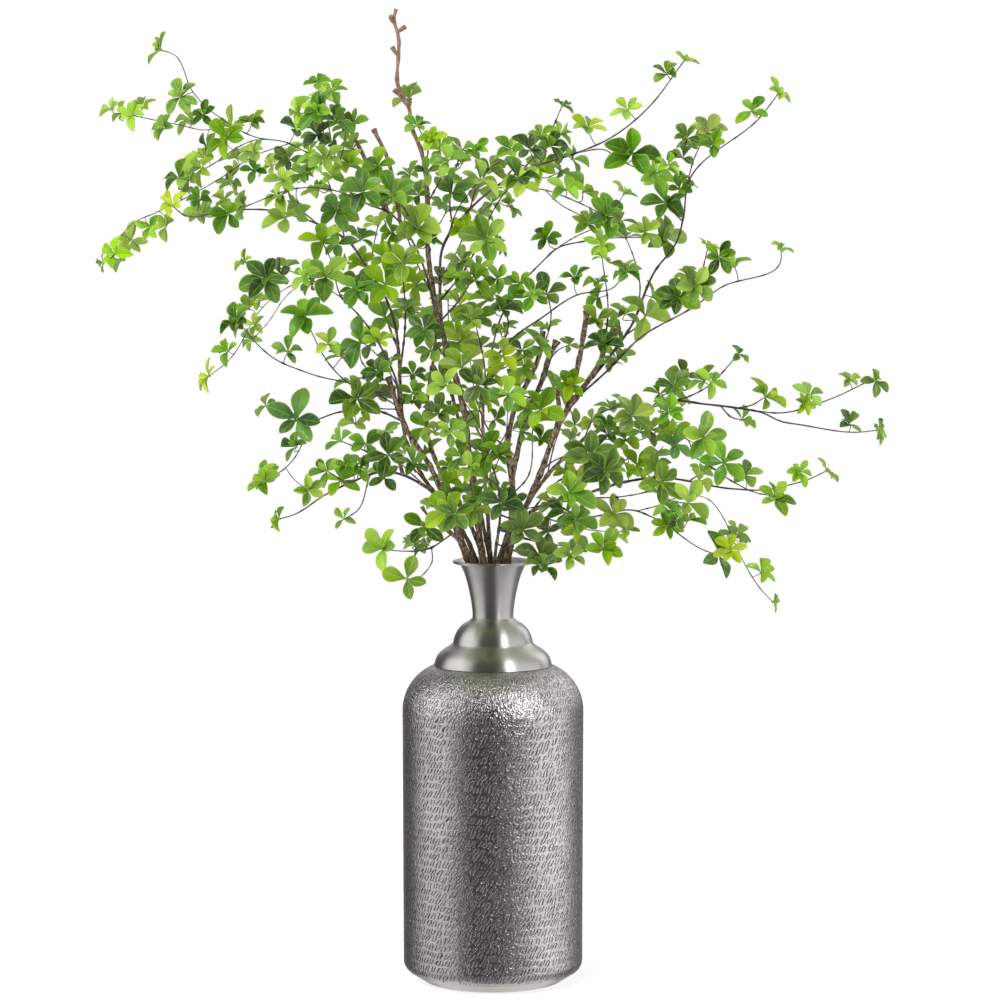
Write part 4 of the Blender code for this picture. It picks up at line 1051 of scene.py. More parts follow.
def hammer(body, vase):
    """Pushes the wall in where the hammer struck: rows of dents on the side, pebbles on the shoulder."""
    places = coordinates(body.data)
    out = np.hypot(places[:, 0], places[:, 1])
    height = places[:, 2]
    around = np.arctan2(places[:, 1], places[:, 0]) / math.tau + 0.5
    shoulder = (BELLY_RADIUS - SHOULDER_RADIUS) * MM
    top = SHOULDER_HEIGHT * MM
    bent = top + SHOULDER_RADIUS * MM * np.arctan2(height - top, out - shoulder)
    along = np.where(height > top, bent, height)
    reach = np.where(height > top, np.hypot(out - shoulder, height - top) + shoulder, out)
    heel = np.where(height < HEEL_HEIGHT * MM, HEEL_BAND * MM, 0.0)
    outer = reach > (BELLY_RADIUS - SMOOTH_BAND) * MM - heel
    outer &= out > (BODY_MOUTH - MOUTH_BAND) * MM
    girth = math.tau * BELLY_RADIUS * MM
    rows = dents(around, along, girth, vase.row_pitch, ROW_JITTER, ROW_SALT)
    pebbles = dents(around, along, girth, vase.pebble_size, PEBBLE_JITTER, PEBBLE_SALT)
    blend = np.clip((along - top + BLEND_FROM * MM) / (BLEND_LENGTH * MM), 0.0, 1.0)
    strength = ROW_STRENGTH + (SHOULDER_STRENGTH - ROW_STRENGTH) * blend
    depth = (rows * (1 - blend) + pebbles * strength) * vase.dent_depth
    depth *= np.clip((height - BODY_BASE * MM) / (BASE_FADE * MM), 0.0, 1.0) * outer
    places -= coordinates(body.data, "normal") * depth[:, None]
    body.data.vertices.foreach_set("co", places.ravel())
    body.data.update()


class MakeBody(bpy.types.Operator):
    """Spins the tall body and hammers its wall"""
    bl_idname = "branch_vase.make_body"
    bl_label = "Hammered body"

    def execute(self, context):
        vase = settings().vase
        body = spin("hammered_body", body_outline(), vase.body_sides)
        hammer(body, vase)
        body.data.materials.append(hammered_plating(vase))
        finish_piece(body, "hammered_pewter", "vase_body")
        return {"FINISHED"}


def polar(tree):
    """Nodes for the place on the piece, an angle round the vase from 0 to 1, and a height in metres."""
    where = add_node(tree, "ShaderNodeTexCoord", {}).outputs["Object"]
    aside, back, height = add_node(tree, "ShaderNodeSeparateXYZ", {0: where}).outputs
    angle = add_node(tree, "ShaderNodeMath", {0: back, 1: aside}, operation="ARCTAN2")
    around = add_node(tree, "ShaderNodeMath", {0: angle, 1: 1 / math.tau, 2: 0.5}, operation="MULTIPLY_ADD")
    return where, around, height


# The brushed plating: sizes in metres, with brush lines as coarse as they need to be to show, how often they
# break off round the vase, how much clouds them, how pale and deep they are beside the plate, and roughness
BRUSH_SPACING = 0.0006
CLOUD_SIZE = 0.03
BRUSH_DEPTH = 0.0002
BRUSH_BREAKS = 3.0
CLOUD_SHARE = 0.35
PALE_BRUSH = 1.1
DEEP_BRUSH = 0.86
FOOT_ROUGHNESS = 0.3
NECK_ROUGHNESS = 0.36

# The brush lines run round the vase, a quarter turn from the way in which they draw reflections out
BRUSH_PULL = 0.88
BRUSH_TURN = 0.25


def satin_plating(name, plate, roughness):
    """Nickel plate on spun aluminium, brushed while it turned: its rings draw reflections out up and down."""
    made, tree, shader = new_material(name)
    where, around, height = polar(tree)
    unrolled = add_node(tree, "ShaderNodeCombineXYZ", {"X": around, "Z": height})
    pace = (BRUSH_BREAKS, 0.0, 1 / BRUSH_SPACING)
    stretched = add_node(tree, "ShaderNodeVectorMath", {0: unrolled, 1: pace}, operation="MULTIPLY")
    brushed = add_node(tree, "ShaderNodeTexNoise", {"Vector": stretched, "Scale": 1.0, "Detail": 3.0,
                                                    "Roughness": 0.6})
    cloudy = add_node(tree, "ShaderNodeTexNoise", {"Vector": where, "Scale": 1 / CLOUD_SIZE, "Detail": 2.0})
    both = add_node(tree, "ShaderNodeMix", {"Factor": CLOUD_SHARE, "A": brushed, "B": cloudy})
    tone = add_node(tree, "ShaderNodeValToRGB", {"Fac": both})
    pale = tuple(min(1.0, c * PALE_BRUSH) for c in plate)
    deep = tuple(c * DEEP_BRUSH for c in plate)
    spread_stops(tone, ((0.3, deep), (0.7, pale)))
    rough = add_node(tree, "ShaderNodeMapRange", {"Value": both, "To Min": roughness - 0.05,
                                                  "To Max": roughness + 0.07})
    bump = add_node(tree, "ShaderNodeBump", {"Height": brushed, "Strength": 0.12, "Distance": BRUSH_DEPTH})
    rings = add_node(tree, "ShaderNodeTangent", {}, direction_type="RADIAL", axis="Z")
    fill_inputs(tree, shader, {"Base Color": tone, "Metallic": 1.0, "Roughness": rough, "Normal": bump,
                               "Anisotropic": BRUSH_PULL, "Anisotropic Rotation": BRUSH_TURN,
                               "Tangent": rings})
    return made


# The punch marks, in metres: pitch of the rows and in a row, the joining arch, and the stroke itself
ROW_PITCH = 0.0094
MARK_PITCH = 0.0098
ARCH_RADIUS = 0.0023
ARCH_SPRING = 0.0008
GROOVE = 0.001
GROOVE_BED = 0.0003
MARK_DEPTH = 0.0007

# How the marks lean, sit and stray in their cells, and where their strokes end, as shares of the pitches, and
# how many are joined above
SLANT = 0.55
LEAN_STRAY = 0.15
MARK_MIDDLE = 0.4
MARK_STRAY = 0.2
ROW_STRAY = 0.22
STROKE_END = (-0.46, -0.39)
JOINED_ABOVE = 0.45
ROW_SWAY = 0.8
MARK_SWAY = 0.9
ROW_JOLT = 0.65

# The finer grain, in metres, and the heights between which the side's marks give way to pebbles
WANDER_SIZE = 0.06
JOLT_SIZE = 0.008
PEBBLE_GRAIN = 0.0027
GRIT_SIZE = 0.0013
STAIN_SIZE = 0.05
PEBBLED_FROM = 0.315
PEBBLED_TO = 0.365

# How deep the grit is beside a mark, and how much tarnish a mark holds
GRIT_DEPTH = 0.36
MARK_TARNISH = 0.95


def hammered_plating(vase):
    """Dark nickel on beaten aluminium: rows of slanted punch marks with tarnish in them, and pebbled wear."""
    made, tree, shader = new_material("hammered_nickel_plate")
    where, around, height = polar(tree)
    on_shoulder = add_node(tree, "ShaderNodeMapRange", {"Value": height, "From Min": PEBBLED_FROM,
                                                        "From Max": PEBBLED_TO})
    marks = punch_marks(tree, where, around, height, on_shoulder)
    pebble = add_node(tree, "ShaderNodeTexVoronoi", {"Vector": where, "Scale": 1 / PEBBLE_GRAIN})
    pebbled = add_node(tree, "ShaderNodeMapRange", {"Value": pebble, "From Min": 0.65, "From Max": 0.1})
    pebbles = add_node(tree, "ShaderNodeMapRange", {"Value": on_shoulder, "To Min": 0.22, "To Max": 0.72})
    pebbled = add_node(tree, "ShaderNodeMath", {0: pebbled, 1: pebbles, 2: marks}, operation="MULTIPLY_ADD")
    grit = add_node(tree, "ShaderNodeTexNoise", {"Vector": where, "Scale": 1 / GRIT_SIZE, "Detail": 3.0,
                                                 "Roughness": 0.65})
    deep = add_node(tree, "ShaderNodeMath", {0: grit, 1: GRIT_DEPTH, 2: pebbled}, operation="MULTIPLY_ADD")
    stain = add_node(tree, "ShaderNodeTexNoise", {"Vector": where, "Scale": 1 / STAIN_SIZE, "Detail": 3.0})
    stained = add_node(tree, "ShaderNodeMapRange", {"Value": stain, "From Min": 0.4, "From Max": 0.75,
                                                    "To Max": 0.18})
    specks = add_node(tree, "ShaderNodeMapRange", {"Value": grit, "From Min": 0.5, "From Max": 0.75,
                                                   "To Max": 0.5})
    worn = add_node(tree, "ShaderNodeMath", {0: specks, 1: stained}, operation="ADD")
    tarnished = add_node(tree, "ShaderNodeMath", {0: marks, 1: MARK_TARNISH, 2: worn},
                         operation="MULTIPLY_ADD")
    tone = add_node(tree, "ShaderNodeValToRGB", {"Fac": tarnished})
    spread_stops(tone, ((0.0, vase.dark_nickel), (1.0, vase.tarnish)))
    rough = add_node(tree, "ShaderNodeMapRange", {"Value": tarnished, "To Min": 0.15, "To Max": 0.32})
    bump = add_node(tree, "ShaderNodeBump", {"Height": deep, "Strength": 1.0, "Distance": MARK_DEPTH},
                    invert=True)
    fill_inputs(tree, shader, {"Base Color": tone, "Metallic": 1.0, "Roughness": rough, "Normal": bump})
    return made


def punch_marks(tree, where, around, height, on_shoulder):
    """1 in the grooves of the punch marks: rows of slanted strokes, joined in pairs above or below."""
    wander = add_node(tree, "ShaderNodeTexNoise", {"Vector": where, "Scale": 1 / WANDER_SIZE, "Detail": 2.0})
    sway = add_node(tree, "ShaderNodeMath", {0: wander, 1: 0.5}, operation="SUBTRACT")
    jolt = add_node(tree, "ShaderNodeTexNoise", {"Vector": where, "Scale": 1 / JOLT_SIZE, "Detail": 1.0})
    jolt = add_node(tree, "ShaderNodeSeparateColor", {0: jolt.outputs["Color"]})
    shake = add_node(tree, "ShaderNodeMapRange", {"Value": on_shoulder, "To Min": 0.35, "To Max": 1.1})
    level = 0.0
    for source, weight in ((height, 1 / ROW_PITCH), (sway, ROW_SWAY), (jolt.outputs[0], ROW_JOLT)):
        level = add_node(tree, "ShaderNodeMath", {0: source, 1: weight, 2: level}, operation="MULTIPLY_ADD")
    row = add_node(tree, "ShaderNodeMath", {0: level}, operation="FLOOR")
    rise = add_node(tree, "ShaderNodeMath", {0: level}, operation="FRACT")
    along = add_node(tree, "ShaderNodeTexWhiteNoise", {"W": row}, noise_dimensions="1D")
    count = round(math.tau * BELLY_RADIUS * MM / MARK_PITCH)
    for source, weight in ((around, count), (sway, MARK_SWAY), (jolt.outputs[1], shake),
                           (rise, -SLANT * ROW_PITCH / MARK_PITCH)):
        along = add_node(tree, "ShaderNodeMath", {0: source, 1: weight, 2: along}, operation="MULTIPLY_ADD")
    column = add_node(tree, "ShaderNodeMath", {0: along}, operation="FLOOR")
    aside = add_node(tree, "ShaderNodeMath", {0: along}, operation="FRACT")
    cell = add_node(tree, "ShaderNodeCombineXYZ", {"X": column, "Y": row})
    luck = add_node(tree, "ShaderNodeTexWhiteNoise", {"Vector": cell}, noise_dimensions="2D")
    chance = add_node(tree, "ShaderNodeSeparateColor", {0: luck.outputs["Color"]})
    places = []
    for part, draw, stray, pitch in ((aside, 0, MARK_STRAY, MARK_PITCH), (rise, 1, ROW_STRAY, ROW_PITCH)):
        part = add_node(tree, "ShaderNodeMath", {0: chance.outputs[draw], 1: -stray, 2: part},
                        operation="MULTIPLY_ADD")
        part = add_node(tree, "ShaderNodeMath", {0: part, 1: MARK_MIDDLE}, operation="SUBTRACT")
        places.append(add_node(tree, "ShaderNodeMath", {0: part, 1: pitch}, operation="MULTIPLY"))
    aside, up = places
    slant = add_node(tree, "ShaderNodeMath", {0: chance.outputs[2], 1: -2 * LEAN_STRAY, 2: LEAN_STRAY},
                     operation="MULTIPLY_ADD")
    leaning = add_node(tree, "ShaderNodeMath", {0: up, 1: slant, 2: aside}, operation="MULTIPLY_ADD")
    below = add_node(tree, "ShaderNodeMath", {0: luck, 1: JOINED_ABOVE}, operation="GREATER_THAN")
    turned = add_node(tree, "ShaderNodeMath", {0: below, 1: -2.0, 2: 1.0}, operation="MULTIPLY_ADD")
    out = add_node(tree, "ShaderNodeMath", {0: up, 1: turned}, operation="MULTIPLY")
    over = add_node(tree, "ShaderNodeMath", {0: out, 1: ARCH_SPRING}, operation="SUBTRACT")
    over = add_node(tree, "ShaderNodeMath", {0: over, 1: 0.0}, operation="MAXIMUM")
    spot = add_node(tree, "ShaderNodeCombineXYZ", {"X": leaning, "Y": over})
    away = add_node(tree, "ShaderNodeVectorMath", {0: spot}, operation="LENGTH").outputs["Value"]
    away = add_node(tree, "ShaderNodeMath", {0: away, 1: ARCH_RADIUS}, operation="SUBTRACT")
    away = add_node(tree, "ShaderNodeMath", {0: away}, operation="ABSOLUTE")
    mark = add_node(tree, "ShaderNodeMapRange", {"Value": away, "From Min": GROOVE, "From Max": GROOVE_BED},
                    interpolation_type="SMOOTHSTEP")
    arched = add_node(tree, "ShaderNodeMapRange", {"Value": over, "From Max": ARCH_RADIUS, "To Min": 1.0,
                                                   "To Max": 0.45})
    ends = add_node(tree, "ShaderNodeMapRange", {"Value": out, "From Min": STROKE_END[0] * ROW_PITCH,
                                                 "From Max": STROKE_END[1] * ROW_PITCH})
    struck = add_node(tree, "ShaderNodeMapRange", {"Value": chance.outputs[2], "To Min": 0.4})
    fading = add_node(tree, "ShaderNodeMapRange", {"Value": on_shoulder, "To Min": 1.0, "To Max": 0.75})
    for strength in (ends, arched, struck, fading):
        mark = add_node(tree, "ShaderNodeMath", {0: mark, 1: strength}, operation="MULTIPLY")
    return mark


# Knots and joints: spacings and widths in metres, and how much thicker the wood is there
KNOT_SPACING = (0.014, 0.034)
STEM_SWELLING = (0.10, 0.28)
TWIG_SWELLING = (0.25, 0.6)
STEM_KNOT = 0.004
TWIG_KNOT = 0.0022
JOINT_SWELLING = 0.16
JOINT_WIDTH = 0.005
STUB_SWELLING = 0.4
KNOB_SWELLING = 0.75
SWELL_REACH = 2.5

# Between these radii, in millimetres, thin wood is drawn slimmer than its solid, down to this share of it
SLIM_FROM = 1.1
SLIM_TO = 2.8
SLIMMEST = 0.64

# Shoots below this radius, in millimetres, have twig bark. A stub is thicker than a twig's end by the margin,
# is drawn with no less than its own least radius, and has a knob if it's longer than so many rings.
SHOOT_RADIUS = 1.7
STUB_MARGIN = 1.05
LEAST_STUB = 2.3
KNOB_RINGS = 12

# How far a spur bends aside, as a share of its length, and the limits of its way across, back and up
SPUR_BEND = 0.12
SPUR_WAYS = ((-1, 1), (-1, 1), (-1.2, 0.4))


def smooth_route(points, radii, step):
    """A curved route through the same points, with its radius, at about even steps."""
    route = []
    girths = []
    knots = with_tangents(points)
    for i, ((start, leaving), (end, arriving)) in enumerate(zip(knots, knots[1:])):
        span = (end - start).length
        count = max(1, round(span / step))
        for k in range(count):
            share = k / count
            route.append(hermite(start, leaving * span, end, arriving * span, share))
            girths.append(radii[i] + (radii[i + 1] - radii[i]) * share)
    return route + [points[-1]], girths + [radii[-1]]


def swell(route, radii, places, swelling, width):
    """Thickens a route where a bud or a side shoot sits."""
    for middle in places:
        for i, point in enumerate(route):
            away = (point - middle).length / width
            if away < SWELL_REACH:
                radii[i] *= 1 + swelling * math.exp(-away * away)


def knots_along(route, radii, dice, swelling, width):
    """Random knots along a stretch of wood."""
    gap = dice.uniform(*KNOT_SPACING)
    walked = 0.0
    for i in range(1, len(route)):
        walked += (route[i] - route[i - 1]).length
        if walked > gap:
            swell(route, radii, [route[i]], dice.uniform(*swelling), width)
            walked, gap = 0.0, dice.uniform(*KNOT_SPACING)


def slimmed(radius, share):
    """The radius that a stem or shoot shows: the thinner it is, the slimmer beside its solid."""
    stoutness = min(1.0, max(0.0, (radius / MM - SLIM_FROM) / (SLIM_TO - SLIM_FROM)))
    return radius * share * (SLIMMEST + (1 - SLIMMEST) * stoutness)


def fine_wood(name):
    """A branch's sticks as smooth routes. Each grows out of the wood behind it, which swells there.

    Gives the places and radii of each stretch, and whether stem bark covers it."""
    wood = settings().wood
    dice = random.Random(name)
    done = []
    for number, stick in enumerate(layout()[name]):
        stub = stick.tip == "cut" and stick.radii[-1] > TWIG_END_RADIUS * MM * STUB_MARGIN
        stout = stub or stick.radii[0] > STOUT_RADIUS * MM
        share, step = (wood.stem_share, wood.stem_step) if stout else (wood.twig_share, wood.twig_step)
        swelling, width = (STEM_SWELLING, STEM_KNOT) if stout else (TWIG_SWELLING, TWIG_KNOT)
        points = [point.copy() for point in stick.points]
        radii = list(stick.radii)
        if done:
            points[0] = min((point for route, _, _ in done for point in route),
                            key=lambda point: (point - points[0]).length_squared)
        if len(points) == 2:
            run = points[1] - points[0]
            bow = Vector([dice.uniform(*limits) for limits in SPUR_WAYS]) * SPUR_BEND
            points.insert(1, points[0] + run * 0.5 + bow * run.length)
            radii.insert(0, radii[0])
        if stub and number:
            radii = [max(radius, LEAST_STUB * MM) for radius in radii]
        else:
            radii = [slimmed(radius, share) for radius in radii]
        route, girths = smooth_route(points, radii, step)
        thin = next((i for i, girth in enumerate(girths) if girth < SHOOT_RADIUS * MM), len(route))
        knots_along(route, girths, dice, swelling, width)
        if stub:
            knob = KNOB_SWELLING if number and len(route) > KNOB_RINGS else STUB_SWELLING
            swell(route, girths, [route[-1]], knob, JOINT_WIDTH)
        if stout and not stub and 1 < thin < len(route) - 1:
            done.append((route[:thin + 1], girths[:thin + 1], True))
            done.append((route[thin:], girths[thin:], False))
        else:
            done.append((route, girths, stout))
    for route, girths, _ in done:
        joints = [other[0] for other, _, _ in done if other is not route]
        swell(route, girths, joints, JOINT_SWELLING, JOINT_WIDTH)
    return done


def tubes(name, routes, sides):
    """One mesh of closed round tubes, from a curve with a bevel."""
    data = bpy.data.curves.new(name, "CURVE")
    data.dimensions = "3D"
    data.bevel_depth = 1.0
    data.bevel_resolution = sides
    data.use_fill_caps = True
    for route, radii in routes:
        spline = data.splines.new("POLY")
        spline.points.add(len(route) - 1)
        spline.points.foreach_set("co", [c for point in route for c in (*point, 1.0)])
        spline.points.foreach_set("radius", radii)
    choose(linked(name, data))
    bpy.ops.object.convert(target="MESH")
    return bpy.context.object


# How round the wood is, the fewest corners of a sawn end, and the size of the bark's bumps in metres
STEM_BEVEL = 3
TWIG_BEVEL = 1
CAP_CORNERS = 8
BARK_GRAIN = 0.007


def roughen(stems, wood):
    """Raises the bark's bumps and cracks, with a displace modifier that is applied."""
    grain = bpy.data.textures.new("bark_grain", "CLOUDS")
    grain.noise_scale = BARK_GRAIN
    grain.noise_depth = 3
    relief = stems.modifiers.new("bark", "DISPLACE")
    relief.texture = grain
    relief.texture_coords = "LOCAL"
    relief.strength = wood.bark_relief
    relief.mid_level = 0.5
    choose(stems)
    bpy.ops.object.modifier_apply(modifier=relief.name)


class MakeWood(bpy.types.Operator):
    """Grows the wood of every branch: knobbly stems, their sawn ends, twigs and spurs"""
    bl_idname = "branch_vase.make_wood"
    bl_label = "Wood"

    def execute(self, context):
        wood = settings().wood
        looks = (stem_bark(wood), sawn_wood(wood), twig_bark(wood))
        for branch in BRANCHES:
            done = fine_wood(branch.name)
            stout = [stretch[:2] for stretch in done if stretch[2]]
            stems = tubes(branch.name + "_wood", stout, STEM_BEVEL)
            for look in looks[:2]:
                stems.data.materials.append(look)
            for face in stems.data.polygons:
                if face.loop_total >= CAP_CORNERS:
                    face.material_index = 1
            roughen(stems, wood)
            young = [stretch[:2] for stretch in done if not stretch[2]]
            twigs = tubes(branch.name + "_twigs", young, TWIG_BEVEL)
            twigs.data.materials.append(looks[2])
            choose(stems, twigs)
            bpy.ops.object.join()
            stems.data.name = stems.name
            finish_piece(stems, "bark", branch.name)
        return {"FINISHED"}


# Grain of the wood's surfaces, in metres
FLAKE_SIZE = 0.0034
SPOT_SIZE = 0.0042
SAW_GRAIN = 0.002
PATCH_SIZE = 0.03
FLAKE_DEPTH = 0.001
PATCH_DEPTH = 0.0003

# Flakes are longer up the stem than round it. The heights, in metres, between which the painted shade on
# the stems, darkest up to the vase's mouth, fades out, and between which they turn to young wood.
FLAKE_STRETCH = (1.0, 1.0, 0.55)
PAINTED_SHADE_HEIGHTS = (0.52, 0.66)
YOUNG = (0.95, 1.2)


def stem_bark(wood):
    """Bark of a woody shrub: rough, brown and matt, with dark cracks and pale spots, redder on young tops."""
    made, tree, shader = new_material("stem_bark")
    where = add_node(tree, "ShaderNodeTexCoord", {}).outputs["Object"]
    long = add_node(tree, "ShaderNodeVectorMath", {0: where, 1: FLAKE_STRETCH}, operation="MULTIPLY")
    flakes = add_node(tree, "ShaderNodeTexNoise", {"Vector": long, "Scale": 1 / FLAKE_SIZE, "Detail": 5.0,
                                                   "Roughness": 0.7})
    spots = add_node(tree, "ShaderNodeTexVoronoi", {"Vector": where, "Scale": 1 / SPOT_SIZE})
    tone = add_node(tree, "ShaderNodeValToRGB", {"Fac": flakes})
    spread_stops(tone, ((0.36, wood.bark_dark), (0.5, wood.bark_mid), (0.66, wood.bark_pale)))
    spotted = add_node(tree, "ShaderNodeMapRange", {"Value": spots, "From Min": 0.12, "From Max": 0.3,
                                                    "To Min": 0.8, "To Max": 0.0})
    height = add_node(tree, "ShaderNodeSeparateXYZ", {0: where}).outputs["Z"]
    young = add_node(tree, "ShaderNodeMapRange", {"Value": height, "From Min": YOUNG[0],
                                                  "From Max": YOUNG[1], "To Max": 0.75})
    # Painted shade: the bark is darker inside the vase and just above its mouth, brightening to its own tone
    # higher up
    painted_shade = add_node(tree, "ShaderNodeMapRange", {"Value": height, "From Min": PAINTED_SHADE_HEIGHTS[0],
                                                   "From Max": PAINTED_SHADE_HEIGHTS[1], "To Min": 0.68})
    for share, shade in ((spotted, wood.bark_pale), (young, wood.bark_young)):
        tone = add_node(tree, "ShaderNodeMix", {0: share, COLOUR_A: tone, COLOUR_B: (*shade, 1.0)},
                        data_type="RGBA").outputs[COLOUR_OUT]
    tone = add_node(tree, "ShaderNodeHueSaturation", {"Color": tone, "Value": painted_shade})
    bump = add_node(tree, "ShaderNodeBump", {"Height": flakes, "Strength": 0.8, "Distance": FLAKE_DEPTH})
    fill_inputs(tree, shader, {"Base Color": tone, "Roughness": 0.8, "Normal": bump})
    return made


def sawn_wood(wood):
    """A saw cut across a stem, gone brown in the air: pale wood with rings too fine to see."""
    made, tree, shader = new_material("sawn_wood")
    where = add_node(tree, "ShaderNodeTexCoord", {}).outputs["Object"]
    grain = add_node(tree, "ShaderNodeTexNoise", {"Vector": where, "Scale": 1 / SAW_GRAIN, "Detail": 3.0})
    tone = add_node(tree, "ShaderNodeValToRGB", {"Fac": grain})
    spread_stops(tone, ((0.3, wood.bark_mid), (0.65, wood.sawn)))
    fill_inputs(tree, shader, {"Base Color": tone, "Roughness": 0.7})
    return made


def twig_bark(wood):
    """Bark of a young twig: smooth, dark purple-brown with a soft shine, greyed in places."""
    made, tree, shader = new_material("twig_bark")
    where = add_node(tree, "ShaderNodeTexCoord", {}).outputs["Object"]
    patches = add_node(tree, "ShaderNodeTexNoise", {"Vector": where, "Scale": 1 / PATCH_SIZE, "Detail": 4.0})
    tone = add_node(tree, "ShaderNodeValToRGB", {"Fac": patches})
    spread_stops(tone, ((0.42, wood.twig_bark), (0.68, wood.twig_pale)))
    bump = add_node(tree, "ShaderNodeBump", {"Height": patches, "Strength": 0.4, "Distance": PATCH_DEPTH})
    fill_inputs(tree, shader, {"Base Color": tone, "Roughness": 0.55, "Normal": bump})
    return made


# A blade's rows as (share of its length, share of its width), from its stalk to its tip, and how it arches,
# droops, cups and folds at its rib, as shares of its length
BLADE_ROWS = ((0.0, 0.07), (0.12, 0.19), (0.27, 0.5), (0.44, 0.83), (0.6, 1.0), (0.75, 0.97), (0.87, 0.76),
              (0.95, 0.48), (1.0, 0.1))
BLADE_CELLS = 4
BLADE_ARCH = 0.05
BLADE_DROOP = 0.08
BLADE_CUP = 0.06
CUP_POWER = 1.6
RIB_DEPTH = 0.014
BLADE_WELD = 0.0004

# How one leaf differs from the next, as shares of its length, and its twist in radians
CURL = (-0.36, 0.1)
FOLD = (0.0, 0.26)
TWIST = (-0.6, 0.6)
SWAY = (-0.09, 0.09)
WAVE = 0.02
WAVE_PACE = 9.0
FOLD_POWER = 1.3
TWIST_POWER = 1.5

# How far a leaf strays round its whorl, as a share of the gap between two
LEAF_STRAY = 0.24

# The young leaves inside a whorl: how many, how long beside the others, and how steep they stand, in degrees
INNER_COUNTS = (0, 1, 1, 2, 2)
INNER_LENGTH = (0.35, 0.62)
INNER_LIFT = (35.0, 65.0)


def make_blade(foliage):
    """One flat-lying leaf blade of length 1 and half width 1, with two sides that meet all round its edge."""
    deselect()
    rows = len(BLADE_ROWS) - 1
    bpy.ops.mesh.primitive_grid_add(x_subdivisions=BLADE_CELLS, y_subdivisions=rows, size=2.0)
    blade = bpy.context.object
    blade.name = "blade"
    mesh = blade.data
    mesh.uv_layers.active.name = "blade"
    for vert in mesh.vertices:
        row = round((vert.co.y + 1) / 2 * rows)
        along, width = BLADE_ROWS[row]
        out = vert.co.x
        arch = BLADE_ARCH * math.sin(math.pi * along) - BLADE_DROOP * along ** 2
        cup = BLADE_CUP * width * abs(out) ** CUP_POWER - (RIB_DEPTH * width if out == 0 else 0.0)
        vert.co = (out * width, along, arch + cup)
    edit_all(blade)
    bpy.ops.mesh.duplicate()
    bpy.ops.mesh.flip_normals()
    bpy.ops.object.mode_set(mode="OBJECT")
    tint = mesh.color_attributes.new("leaf", "FLOAT_COLOR", "CORNER")
    for face in mesh.polygons:
        under = face.index >= len(mesh.polygons) // 2
        for corner in face.loop_indices:
            tint.data[corner].color = (0.5, 1.0 if under else 0.0, 0.5, 1.0)
    half = len(mesh.vertices) // 2
    for vert in mesh.vertices[half:]:
        width = min(BLADE_ROWS, key=lambda row: abs(row[0] - vert.co.y))[1]
        inner = 1 - min(1.0, abs(vert.co.x) / width)
        ends = 0.0 if vert.co.y in (BLADE_ROWS[0][0], BLADE_ROWS[-1][0]) else 1.0
        vert.co.z -= foliage.thickness * math.sqrt(inner) * ends
    edit_all(blade)
    bpy.ops.mesh.remove_doubles(threshold=BLADE_WELD)
    bpy.ops.object.mode_set(mode="OBJECT")
    blade.hide_render = True
    return blade


# A bud's length in metres, and how slim it is
BUD_LENGTH = 0.0042
BUD_SHAPE = (0.8, 0.8, 1.3)


def make_bud():
    """One small pointed bud of length 1, standing on the origin."""
    deselect()
    bpy.ops.mesh.primitive_ico_sphere_add(subdivisions=1, radius=0.5, location=(0, 0, 0))
    bud = bpy.context.object
    bud.name = "bud"
    edit_all(bud)
    bpy.ops.transform.resize(value=BUD_SHAPE)
    bpy.ops.object.mode_set(mode="OBJECT")
    bud.hide_render = True
    return bud


def copied(template, name, places):
    """A copy of a template with a mesh of its own, whose vertices are moved to these places."""
    data = template.data.copy()
    data.vertices.foreach_set("co", places.ravel())
    return linked(name, data)


def bent_blade(flat, length, half, dice):
    """A blade's places at its real size, curled, folded, twisted and waved a little in its own way."""
    across, along, up = flat[:, 0], flat[:, 1], flat[:, 2]
    curl, fold = dice.uniform(*CURL), dice.uniform(*FOLD)
    twist, sway = dice.uniform(*TWIST), dice.uniform(*SWAY)
    phase = dice.uniform(0, math.tau)
    up = up + curl * along ** 2 + fold * np.abs(across) ** FOLD_POWER
    up = up + WAVE * np.sin(along * WAVE_PACE + phase) * np.abs(across)
    wide = across * half / length
    turn = twist * along ** TWIST_POWER
    side = wide * np.cos(turn) + sway * along ** 2
    rise = up + wide * np.sin(turn)
    return np.stack([side * length, along * length, rise * length], axis=1)


@dataclass
class Whorl:
    """A whorl's middle, axis and two directions square to it, its draws, and its leaves' count and length."""
    middle: Vector
    axis: Vector
    first: Vector
    second: Vector
    dice: random.Random
    count: int
    length: float


def whorl_on(stick):
    """The whorl at a stick's tip, turned as in the model."""
    points = stick.points
    stem = (points[-1] - points[-2]).normalized()
    side = steady_side(points)
    across, down, _ = stick.sheet[-1]
    dice = draws_at(across, down)
    sides = STOUT_SIDES if stick.radii[0] > STOUT_RADIUS * MM else THIN_SIDES
    count = max(dice.choice(LEAF_COUNTS), sides)
    length = LEAF_LENGTH[stick.tip] * dice.uniform(*WHORL_VARIES) * MM
    length *= dice.uniform(*LEAF_SCALE[stick.tip])
    aside = dice.uniform(-SIDE_LEAN, SIDE_LEAN) + OUT_LEAN * points[-1].x
    lean = Vector((aside, -dice.uniform(*FRONT_LEAN[stick.tip]), dice.uniform(*UP_LEAN)))
    axis = (stem * STEM_PULL[stick.tip] + lean).normalized()
    if axis.dot(stem) < STEEPEST_LEAN:
        sideways = (axis - stem * axis.dot(stem)).normalized()
        axis = stem * STEEPEST_LEAN + sideways * math.sqrt(1 - STEEPEST_LEAN ** 2)
    first = (side - axis * side.dot(axis)).normalized()
    return Whorl(points[-1], axis, first, axis.cross(first), dice, count, length)


